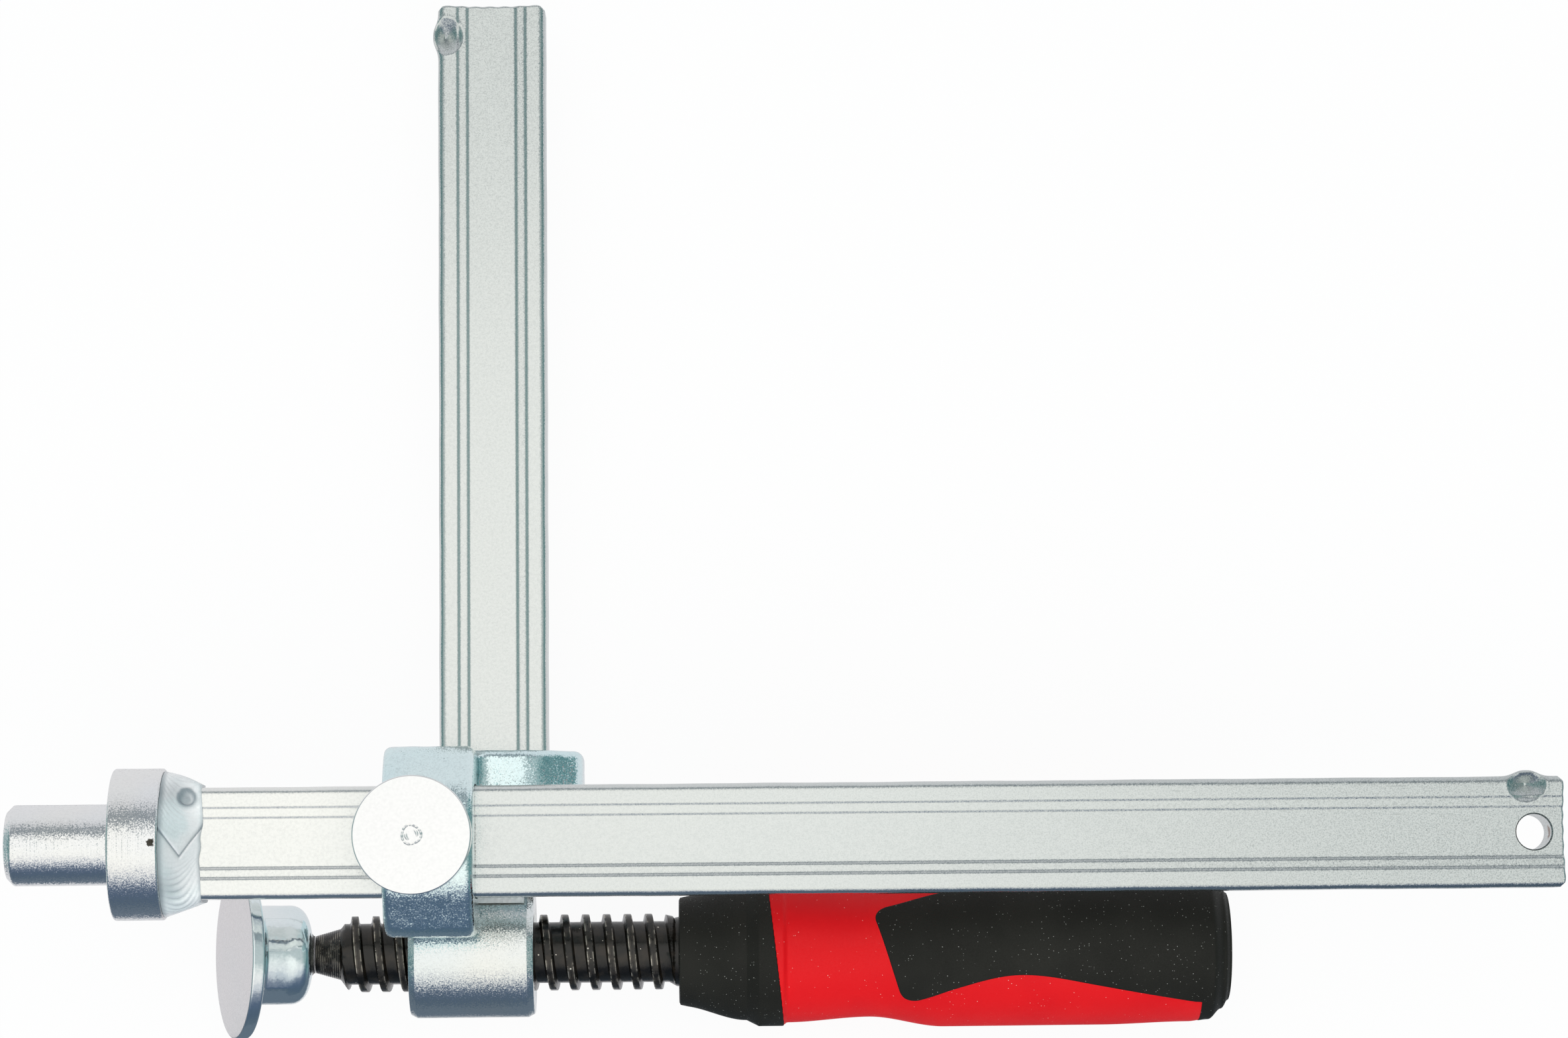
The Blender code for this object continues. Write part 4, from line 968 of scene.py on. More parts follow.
@dataclass
class FixedRail:
    """Main rail, table pin with its collar, and the weld between them."""
    collar_back: float = 31.1
    pin_radius: float = 8.0
    pin_length: float = 21.1
    collar_radius: float = 15.0
    gap: float = 0.3
    rail_length: float = 276.7
    stake_inset: float = 7.4
    hole_inset: float = 6.0
    hole_radius: float = 3.5
    weld_length: float = 7.5
    pit: tuple[float, float] = (29.9, 0.1)
    pit_depth: float = 0.30
    pit_width: float = 0.42

    def build(self, finishes: Finishes) -> None:
        """Builds and dresses the pieces of the fixed group."""
        self.build_rail(finishes.rail)
        self.build_pin(finishes.turned)
        self.build_weld(finishes.weld)

    def build_rail(self, finish: Material) -> None:
        """The main rail with its chamfered hang hole."""
        start, bore = self.collar_back + self.gap, self.hole_radius
        rail = FlutedRail(self.rail_length, self.stake_inset)
        piece = write_mesh("main_rail_dressed", rail.shell().moved((start, 0.0, 0.0)), rail.crease)
        wide = bore + 1.4
        profile = np.array(((-6.0, wide), (-4.1, bore), (4.1, bore), (6.0, wide)))
        place = (start + self.rail_length - self.hole_inset, 0.0, 0.0)
        carve(piece, [skin(revolve(profile, 64)).moved(place, X_TO_Z)], rail.crease)
        publish(piece, finish, Body.FIXED, Slot.RAIL, "main_rail")

    def build_pin(self, finish: Material) -> None:
        """Pin and collar turned from one bar.

        Formula: a filleted profile is revolved about X, and a small burnt pit is sunk into
        the collar by a bell curve round its middle.

        Args:
            finish: Material of the turned steel.
        """
        pin, collar, back = self.pin_radius, self.collar_radius, self.collar_back
        corners = [(0.0, 0.05, 0.0), (0.0, pin - 1.35, 0.35), (1.35, pin, 0.8),
                   (self.pin_length - 0.35, pin, 0.25), (self.pin_length, pin + 0.35, 0.2),
                   (self.pin_length, collar, 0.5), (back, collar, 0.45), (back, 0.05, 0.0)]
        rings = revolve(densify(rounded_path(corners), 0.45), 288)
        away = np.hypot(rings[..., 0] - self.pit[0], (rings[..., 1] - self.pit[1]) / 1.5)
        pit = self.pit_depth * bell(away, self.pit_width) * (rings[..., 2] > pin)
        rings[..., 1:] *= 1.0 + ((0.02 * soft_noise(rings, 9.0, 3) - pit) / collar)[..., None]
        dress("table_pin", skin(rings), 30.0, finish, Body.FIXED, Slot.TURNED)

    @staticmethod
    def rail_reach(angle: Array) -> Array:
        """Radius of the bar's outline at angles round X, the mean of some neighbours."""
        side = 7
        outline = FlutedRail(10.0, 5.0).section()
        polar = np.arctan2(outline[:, 1], outline[:, 0]) % TURN
        order = np.argsort(polar)
        reach = np.interp(angle, polar[order], np.hypot(*outline.T)[order], period=TURN)
        kernel = np.ones(2 * side + 1) / (2 * side + 1)
        return np.convolve(np.concatenate([reach[-side:], reach, reach[:side]]), kernel, "valid")

    @staticmethod
    def weld_marks(x: Array, y: Array, front: Array) -> tuple[Array, Array]:
        """Marks on the bead's near side: a V-shaped seam and a swirl beside it, with painted
        shade.

        Formula: the seam's two legs are one line folded at its tip, and every mark is a
        bell curve across it or round its middle.

        Args:
            x: Places along the bar from the collar.
            y: Places across.
            front: Share by which each place faces up.

        Returns:
            Heights in millimetres, and how much painted shade lies on the seam's groove, the swirl
            and two patches.
        """
        leg = y + 2.6 - 1.5 * np.abs(x - 3.6)
        near = (smoothstep(front, 0.5, 0.75) * (1.0 - smoothstep(y, 3.0, 5.0))
                * smoothstep(y, -3.8, -3.0))
        away, facing = np.hypot(x - 4.9, y - 8.6), front > 0.0
        swirl = 0.22 * np.cos(away * TURN / 1.7) * bell(away, 2.2) - 0.45 * bell(away, 0.9)
        # Painted shade: a dark filled oval over the swirl.
        swirl_shade = 0.85 * bell(away - 1.5, 0.45) + 0.60 * bell(away, 1.1, 4.0)
        # Painted shade along the seam's groove and over the swirl.
        painted_shade = 0.85 * bell(leg, 0.30) * near + swirl_shade * facing
        # Painted shade in two patches near the collar.
        for level, at_x, at_y, width in ((0.45, 2.2, 10.0, 2.6), (0.30, 2.0, -9.0, 2.4)):
            painted_shade = painted_shade + level * bell(np.hypot(x - at_x, y - at_y), width)
        return swirl * facing - 0.60 * bell(leg, 0.48) * near, painted_shade

    def weld_rings(self) -> tuple[Array, Array]:
        """Rings of the fillet weld round X, and its share of painted shade.

        Formula: the radius eases from the collar's rim down to the rail's section, swelled
        in the middle, with bow-shaped ripples round the joint and the marks on top.

        Returns:
            Points (rows, columns, 3) and shares of painted shade (rows, columns).
        """
        overlap, ripple, ripple_wave, bow_depth, least = 0.55, 0.12, 1.15, 2.6, 2.0
        angle = np.arange(360) * TURN / 360
        share = np.concatenate([[0.0], np.linspace(0.004, 1.0, 46), [1.02]])[:, None]
        part = np.clip(share, 0.0, 1.0)
        rim, end = self.collar_radius - overlap, self.rail_reach(angle) + overlap
        body = rim + (end - rim) * (part * (1.5 - 0.5 * part))
        length = self.weld_length * (1.0 + 0.035 * np.sin(2.0 * angle + 0.5)
                                     + 0.02 * np.sin(7.0 * angle + 2.0))
        x, y, hump = part * length, body * np.cos(angle), np.sin(np.pi * part)
        bow = angle * 11.0 + bow_depth * (2.0 * part - 1.0) ** 2
        wave = np.sin(bow * TURN / ripple_wave) * hump ** 0.6 * (0.6 + 0.4 * np.sin(3.0 * angle))
        swell = 0.55 * hump * (1.0 + 0.25 * np.sin(5.0 * angle + 1.0))
        relief, painted_shade = self.weld_marks(x, y, np.cos(angle - math.pi / 2.0))
        # Painted shade in the ripples' troughs and along the borders against collar and rail.
        trough_shade = 0.40 * np.clip(-wave, 0.0, 1.0) ** 2 * smoothstep(-y, -2.0, 6.0)
        border_shade = 0.65 * smoothstep(part, 0.16, 0.0) + 0.45 * smoothstep(part, 0.90, 1.0)
        radius = np.maximum(body + swell + ripple * wave + relief, least)
        sink = 1.4 * (share > 1.0) + 0.7 * (share <= 0.0)
        rings = round_x(self.collar_back + 0.02 + x, radius - sink, angle)
        return rings, np.clip(painted_shade + trough_shade + border_shade, 0.0, 0.9)

    def build_weld(self, finish: Material) -> None:
        """The weld bead all round between collar and rail."""
        rings, painted_shade = self.weld_rings()
        piece = write_mesh("pin_weld_dressed", skin(rings), 60.0)
        # The attribute carries the weld's painted shade to its finish.
        mark_wear_and_shade(piece, painted_shade.ravel())
        publish(piece, finish, Body.FIXED, Slot.WELD, "pin_weld")


# The forged cross slider

@dataclass
class CrossSlider:
    """Forging with two sleeves at right angles, and the disc on its stud."""
    middle: float = 83.15
    length: float = 17.3
    front_span: float = 37.7
    rear_span: float = 36.2
    crown: float = 13.75
    back: float = 10.55
    spacing: float = 24.0
    throat_offset: float = 12.0
    rear_middle: float = 10.0
    slot_half_width: float = 11.3
    slot_half_height: float = 5.55
    disc_radius: float = 11.6
    disc_thick: float = 4.6
    disc_aside: float = 2.3
    disc_raise: float = 1.0
    web_fillet: float = 3.5
    voxel: float = 0.38
    quick_voxel: float = 0.7

    def sleeve(self, span: float, length: float) -> Shell:
        """A sleeve along X with rounded ends.

        Formula: the arched outline is carried from end to end, and in each end's last
        1.6 mm it is drawn in along its own normals by a quarter round.

        Args:
            span: Width across the sleeve.
            length: Length along X.

        Returns:
            The closed shell about the sleeve's middle.
        """
        half, shoulder, flat, edge = span / 2.0, self.crown - 8.2, 8.5, 1.6
        corners = [(-half, -self.back, 3.2), (half, -self.back, 3.2), (half, shoulder, 5.5),
                   (flat, self.crown, 11.0), (-flat, self.crown, 11.0), (-half, shoulder, 5.5)]
        outline = densify(rounded_path(corners, 12, True), 0.7, True)
        ahead = np.roll(outline, -1, axis=0) - np.roll(outline, 1, axis=0)
        ahead /= np.linalg.norm(ahead, axis=1, keepdims=True)
        normal = np.column_stack([ahead[:, 1], -ahead[:, 0]])
        turn = np.linspace(0.0, math.pi / 2.0, 8)
        near = arc_points((edge - length / 2.0, edge), -edge, turn)
        inner = length / 2.0 - edge - 0.7
        middle = np.column_stack([np.linspace(-inner, inner, 20), np.zeros(20)])
        path = np.vstack([near, middle, near[::-1] * (-1.0, 1.0)])
        shape = outline[None] - normal[None] * path[:, 1][:, None, None]
        return skin(np.dstack([np.repeat(path[:, :1], len(outline), axis=1), shape]))

    def slot_cutter(self) -> Shell:
        """Rounded rectangular bar along X that opens a sleeve."""
        w, h, corner, reach = self.slot_half_width, self.slot_half_height, 1.3, 30.0
        corners = [(x, y, corner) for x, y in ((-w, -h), (w, -h), (w, h), (-w, h))]
        return prism(rounded_path(corners, 6, True), -reach, reach, 0)

    def web(self) -> Shell:
        """Block between the sleeves, with a round hollow fillet beside the front one.

        Formula: the fillet is a quarter circle whose centre lies outside both faces that
        it joins, and the block is that outline carried along Y.

        Returns:
            The closed shell about the rear sleeve's middle.
        """
        half, low, r, overlap = self.length / 2.0, -self.back, self.web_fillet, 0.3
        turn = np.linspace(0.0, math.pi / 2.0, 14)
        arc = arc_points((half - overlap + r, low + overlap + r), -r, turn)
        inner, deep = half - 0.8, low - 7.5
        outline = np.vstack([[(-inner, deep), (-inner, low + overlap)], arc,
                             [(half - overlap + r, low - 0.6), (half, deep)]])
        return prism(outline, -inner, inner, 1)

    def build(self, finishes: Finishes) -> None:
        """Builds the forging and the disc."""
        rear_place = (self.throat_offset, self.rear_middle, -self.spacing)
        longer = 0.7
        front = self.sleeve(self.front_span, self.length + longer).moved((longer / 2.0, 0.0, 0.0))
        rear = self.sleeve(self.rear_span, self.length).moved(rear_place, X_TO_Y)
        web = self.web().moved((0.0, self.rear_middle, 0.0))
        shift = (self.middle, 0.0, 0.0)
        piece = write_mesh("cross_slider_dressed", front.joined(rear, web).moved(shift), 60.0)
        self.fuse(piece)
        carve(piece, [self.slot_cutter().moved(shift),
                      self.slot_cutter().moved(np.add(rear_place, shift), X_TO_Y)], 42.0)
        publish(piece, finishes.forged, Body.SLIDER, Slot.FORGED, "cross_slider")
        self.build_disc(finishes.disc)

    def fuse(self, piece: bpy.types.Object) -> None:
        """Melts the shapes into one skin with soft inner corners and a forged unevenness."""
        step = piece.modifiers.new("fuse", "REMESH")
        step.mode = "VOXEL"
        step.voxel_size = self.voxel * MM
        soften = piece.modifiers.new("soften", "SMOOTH")
        soften.factor = 0.5
        soften.iterations = 10
        settle(piece, 60.0)
        mesh = piece.data
        points, normals = np.empty((2, len(mesh.vertices) * 3), np.float32)
        mesh.vertices.foreach_get("co", points)
        mesh.vertex_normals.foreach_get("vector", normals)
        points = points.reshape(-1, 3) / MM
        lumps = sum(height * soft_noise(points, wave, seed)
                    for height, wave, seed in ((0.05, 5.0, 11), (0.02, 1.8, 12)))
        points = points + normals.reshape(-1, 3) * lumps[:, None]
        mesh.vertices.foreach_set("co", (points * MM).astype(np.float32).ravel())
        mesh.update()

    def build_disc(self, finish: Material) -> None:
        """The flat disc with its stud, and the ragged ring of the punch near its middle."""
        under, stud, inside = self.crown + 0.3, 5.0, self.slot_half_height + 0.3
        face = under + self.disc_thick
        corners = [(inside, 0.05, 0.0), (inside, stud, 0.4), (under, stud, 0.0),
                   (under, self.disc_radius, 0.35), (face, self.disc_radius, 0.28),
                   (face, 0.02, 0.0)]
        path = densify(rounded_path(corners, 6)[:-1], 0.5)
        across = np.linspace(self.disc_radius - 0.35, 0.05, 120)
        rings = revolve(np.vstack([path, np.column_stack([np.full(120, face), across])]), 256)
        angle, away = polar(rings)
        ragged = 0.60 + 0.40 * np.sin(5.0 * angle + 1.0) * np.sin(11.0 * angle)
        ring_at = 1.85 + 0.10 * np.sin(3.0 * angle + 2.0)
        half_moon = np.clip(np.sin(2.0 * angle + 0.8), 0.0, 1.0)
        mark = (0.16 * ragged * bell(away - ring_at, 0.16)
                + 0.13 * half_moon * bell(away - 1.1, 0.22))
        rings[..., 0] -= np.where(rings[..., 0] > face - 0.01, mark, 0.0)
        disc = skin(rings).moved((self.middle - self.disc_aside, self.disc_raise, 0.0), X_TO_Z)
        dress("stud_disc", disc, 40.0, finish, Body.SLIDER, Slot.DISC)


# The throat rail with its nut

@dataclass
class ThroatArm:
    """Throat rail, nut barrel and the two weld beads between them."""
    axis_x: float = 95.15
    drop: float = -21.9887
    depth: float = -24.0
    rail_length: float = 181.2
    nut_radius: float = 13.0
    nut_length: float = 25.8
    nut_aside: float = 4.8
    bore: float = 8.15
    gap: float = 0.3

    def build(self, finishes: Finishes) -> None:
        """Builds and dresses the pieces of the throat group."""
        rail = FlutedRail(self.rail_length, 6.5, bulge=1.2)
        place = (self.axis_x, self.drop + self.nut_radius + self.gap, self.depth)
        dress("throat_rail", rail.shell().moved(place, X_TO_Y), rail.crease, finishes.rail,
              Body.THROAT, Slot.RAIL)
        self.build_nut(finishes.nut)
        for name, side in (("front", 1.0), ("rear", -1.0)):
            self.build_bead(name, side, finishes.weld)

    def build_nut(self, finish: Material) -> None:
        """The barrel: a chamfered profile with its bore, revolved about X as a closed loop."""
        half, outside, bore = self.nut_length / 2.0, self.nut_radius, self.bore
        near, bevel, rim = 0.7 - half, 1.3, 0.8
        corners = [(near, bore + rim, 0.1), (near, outside - 0.7, 0.25),
                   (near + bevel, outside, 0.4), (half - bevel, outside, 0.4),
                   (half, outside - 0.7, 0.25), (half, bore + rim, 0.1),
                   (half - rim, bore, 0.1), (near + rim, bore, 0.1)]
        rings = revolve(densify(rounded_path(corners, 5, True), 0.7, True), 192)
        rings[..., 1:] *= 1.0 + (0.02 * soft_noise(rings, 8.0, 21) / outside)[..., None]
        place = (self.axis_x - self.nut_aside, self.drop, self.depth)
        dress("spindle_nut", skin(rings, True).moved(place), 28.0, finish, Body.THROAT,
              Slot.TURNED)

    def build_bead(self, name: str, side: float, finish: Material) -> None:
        """One rippled bead in the corner between barrel and rail.

        Formula: a rounded triangle between the rail's face and the barrel is carried along
        X, and its free side is waved by bows that follow the bead.

        Args:
            name: Which side of the rail.
            side: 1 for the upper face and -1 for the lower.
            finish: Material of the bead.
        """
        barrel, leg = self.nut_radius + self.gap, 3.2
        wall = FlutedRail.thickness / 2.0 + self.gap
        start, end, middle = -9.6, 6.2, -1.7
        under = np.linspace(math.asin(wall / barrel), math.asin((wall + leg) / barrel), 8)
        inner = np.column_stack([barrel * np.sin(under), barrel * np.cos(under)])
        share = np.linspace(0.0, 1.0, 18)[1:-1]
        tip = np.array((wall, barrel + 3.4))
        outline = np.vstack([tip[None], inner, inner[-1] + (tip - inner[-1]) * share[:, None]])
        share = np.concatenate([np.zeros(9), share])
        swell = np.sin(np.pi * share)
        along = np.linspace(start, end, 120)
        bow = along[:, None] + 1.2 * (2.0 * share - 1.0) ** 2
        fade = smoothstep(end - np.abs(along - middle) - middle, 0.0, 1.4)[:, None]
        lift = swell * (0.30 + 0.10 * np.sin(bow * TURN / 1.3)) - (1.0 - fade) * swell * 0.5
        x = np.repeat(along[:, None], len(outline), axis=1)
        rings = np.stack([x, outline[None, :, 1] + lift, (outline[None, :, 0] + lift) * side],
                         axis=-1)
        shell = skin(rings).moved((self.axis_x, self.drop, self.depth))
        publish(write_mesh(f"nut_bead_{name}", shell, 50.0), finish, Body.THROAT, Slot.WELD,
                f"nut_weld_{name}")


# The screw, its pad and its handle

@dataclass
class Screw:
    """Threaded spindle with its turned cone, and the swivel pad on its ball."""
    ball: Place = (53.15, -21.9887, -24.0)
    handle_at: float = 79.3
    core: float = 6.15
    crest: float = 7.83
    pitch: float = 4.25
    phase: float = 0.703
    crest_width: float = 1.15
    root_width: float = 1.95
    neck_start: float = 5.77
    cone_start: float = 5.92
    cone_end: float = 10.82
    cone_radius: float = 5.2
    neck_radius: float = 3.8
    tool_step: float = 0.42
    lead_slope: float = 1.39
    pad_tilt: float = 18.8
    pad_radius: float = 16.83
    pad_face: float = -11.2
    socket: float = 6.8

    @property
    def thread_offset(self) -> float:
        """Place of the thread's profile along X where its turn starts."""
        return self.phase * self.pitch - self.ball[0] % self.pitch - 0.5 * self.pitch

    def thread_shell(self) -> Shell:
        """Right-hand trapezoidal thread as one helical strip.

        Formula: the thread's profile over one pitch is swept round X while it moves one
        pitch on for each turn, so each turn's last line is the next turn's first.  The
        radius is cut down by a chamfer cone at the start and a run-out at the handle.

        Returns:
            The closed shell about the ball's centre.
        """
        start, end = self.cone_end - 0.05, self.handle_at + 2.6
        crest, root = self.crest_width / self.pitch / 2.0, self.root_width / self.pitch / 2.0
        sides = np.array((root + 0.03, root - 0.015, crest + 0.025, crest, crest - 0.025))
        rise = (0.0, 0.12, 0.88, 0.965, 0.995)
        shares = np.array((0.0, *(0.5 - sides), 0.5, *(0.5 + sides[::-1])))
        heights = np.array((0.0, *rise, 1.0, *rise[::-1]))
        steps = 96
        first = math.floor(start / self.pitch) - 2
        turns = math.ceil((end - start) / self.pitch) + 4
        index = np.arange(turns * steps + 1)
        angle = (index * TURN / steps)[:, None]
        x = ((index / steps + first)[:, None] + shares) * self.pitch + self.thread_offset
        grid = np.arange(x.size).reshape(x.shape)
        inside = np.stack([grid[:-1, :-1], grid[1:, :-1], grid[1:, 1:], grid[:-1, 1:]], axis=-1)
        ahead = grid[steps:, 0]
        here = grid[:len(ahead), -1]
        seam = np.stack([here[:-1], here[1:], ahead[1:], ahead[:-1]], axis=-1)
        quads = np.vstack([inside.reshape(-1, 4), seam])
        places = x.reshape(-1)[quads]
        quads = quads[(places.max(axis=1) > start) & (places.min(axis=1) < end)]
        x = np.clip(x, start, end)
        chamfer = self.cone_radius + (x - start) * self.lead_slope
        runout = self.crest - 0.15 - np.clip(x - (self.handle_at - 3.4), 0.0, None) * 0.25
        floor = self.core + 0.9 * smoothstep(x, self.handle_at - 2.2, self.handle_at - 0.2)
        radius = np.minimum(self.core + (self.crest - self.core) * heights, runout)
        radius = np.minimum(np.maximum(radius, floor), chamfer)
        radius = radius + 0.02 * soft_noise(round_x(x, radius, angle), 1.6, 31)
        return self.capped(Shell(round_x(x, radius, angle).reshape(-1, 3), quads), start, end)

    def capped(self, strip: Shell, start: float, end: float) -> Shell:
        """Trims a helical strip flat at both ends and closes it."""
        piece = write_mesh("thread_strip", strip, 40.0)
        work = bmesh.new()
        work.from_mesh(piece.data)
        bmesh.ops.remove_doubles(work, verts=work.verts, dist=1e-7)
        for place, way in ((start + 0.02, -1.0), (end - 0.02, 1.0)):
            bmesh.ops.bisect_plane(work, geom=[*work.verts, *work.edges, *work.faces],
                                   plane_co=(place * MM, 0.0, 0.0), plane_no=(way, 0.0, 0.0),
                                   clear_outer=True)
        bmesh.ops.holes_fill(work, edges=[e for e in work.edges if e.is_boundary], sides=0)
        bmesh.ops.triangulate(work, faces=[f for f in work.faces if len(f.verts) > 4])
        work.verts.index_update()
        points = np.array([v.co[:] for v in work.verts]) / MM
        quads, triangles = (
            np.array([[v.index for v in f.verts] for f in work.faces if len(f.verts) == count])
            for count in (4, 3))
        work.free()
        bpy.data.objects.remove(piece)
        return Shell(points, quads, triangles).outward()

    def ridge(self, x: Array) -> Array:
        """Ridges that the turning tool left along the cone, from 0 to 1."""
        return np.abs(np.sin(x * TURN / self.tool_step / 2.0))

    def wear_and_shade(self, points: Array) -> Array:
        """Share of bare metal.

        Formula: the place over one pitch is x / pitch less the turn of the point, and the
        share is a bell curve round both corners of the crest, faded out below it.  On the
        cone it is a narrow peak at each ridge of the tool.

        Args:
            points: Places about the ball's centre.

        Returns:
            One share for each point.
        """
        x, (angle, away) = points[:, 0], polar(points)
        place = ((x - self.thread_offset) / self.pitch - angle / TURN) % 1.0
        corner = np.abs(np.abs(place - 0.5) * self.pitch - self.crest_width / 2.0)
        high = smoothstep(away, self.crest - 0.5, self.crest - 0.1)
        side = np.where(place < 0.5, 1.0, 0.55)
        return np.where(x > self.cone_end, bell(corner, 0.07) * high * side,
                        0.5 * self.ridge(x) ** 12)

    def cone_shell(self) -> Shell:
        """Neck and turned cone: stepped by the turning tool, revolved about X."""
        x = np.linspace(self.cone_start, self.cone_end, 130)
        share = (x - self.cone_start) / (self.cone_end - self.cone_start)
        radius = self.neck_radius + (self.cone_radius - self.neck_radius) * share
        radius = radius + 0.09 * self.ridge(x) - 0.06
        profile = np.vstack([[(self.neck_start, self.neck_radius)], np.column_stack([x, radius])])
        return skin(revolve(profile, 96))

    def pad_profile(self) -> Array:
        """Profile of the pad: face, rim, flange, hub, rounded crimp, mouth and ball socket."""
        face, edge, socket, hub, crimped = self.pad_face, self.pad_radius, self.socket, 10.0, 3.0
        mouth = math.asin(5.85 / socket)
        hub_end = socket * math.cos(mouth)
        front = rounded_path([(face, 0.05, 0.0), (face, edge, 0.40), (face + 2.6, edge, 0.55),
                              (face + 3.5, 11.2, 0.9), (face + 4.7, hub, 0.5),
                              (hub_end - crimped, hub, 0.0)], 8)
        angle, bowl = np.linspace(0.0, math.pi / 2.0, 16), np.linspace(mouth, math.pi - 0.01, 24)
        crimp = np.column_stack([hub_end - crimped + crimped * np.sin(angle),
                                 hub - 2.9 + 2.9 * np.cos(angle)])
        return densify(np.vstack([front[:-1], crimp, arc_points((0.0, 0.0), socket, bowl)]), 0.40)

    def pad_shell(self) -> Shell:
        """The swivel pad about the ball's centre, face towards -X.

        Formula: its profile is revolved, and the hub is pressed a little flat on eight
        sides by r cos(w / 2) / cos a, which fades out towards its crimped end.

        Returns:
            The closed shell.
        """
        sides, flatness = 8, 0.35
        profile = self.pad_profile()
        along = profile[:, 0]
        rings = revolve(profile, 240)
        angle, away = polar(rings)
        wedge = TURN / sides
        turned = (angle + math.radians(3.0)) % wedge - wedge / 2.0
        facet = math.cos(wedge / 2.0) / np.cos(turned)
        outer = np.arange(len(profile)) <= int(np.argmax(along))
        share = smoothstep(along, -7.6, -6.2) * (1.0 - smoothstep(along, -2.6, -0.4)) * outer
        squeeze = 1.0 + (facet - 1.0) * share[:, None] * flatness
        uneven = 0.02 * soft_noise(rings, 5.0, 41) * (outer * (along > -9.0))[:, None]
        rings[..., 1:] *= (squeeze + np.minimum(uneven, 0.0) / np.maximum(away, 0.05))[..., None]
        return skin(rings)

    def build(self, finishes: Finishes) -> None:
        """Builds and dresses the screw and the pad."""
        screw = self.cone_shell().joined(self.thread_shell())
        piece = write_mesh("spindle_dressed", screw.moved(self.ball), 38.0)
        mark_wear_and_shade(piece, self.wear_and_shade(screw.points))
        publish(piece, finishes.oiled, Body.SCREW, Slot.SCREW, "spindle")
        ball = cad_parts["ball_end"]
        ball.data.materials.clear()
        ball.data.materials.append(finishes.oiled)
        pad = self.pad_shell()
        middles = pad.points[pad.quads].mean(axis=1)
        flat = (middles[:, 0] < self.pad_face + 0.1) & (polar(middles)[1] < self.pad_radius)
        piece = write_mesh("pressure_pad_dressed",
                           pad.moved(self.ball, turn_about_y(self.pad_tilt)), 30.0)
        publish(piece, finishes.pad, Body.PAD, Slot.PAD, "pressure_pad")
        piece.data.materials.append(finishes.face)
        faces = piece.data.polygons
        faces.foreach_set("material_index",
                          np.pad(flat, (0, len(faces) - len(flat))).astype(np.int32))


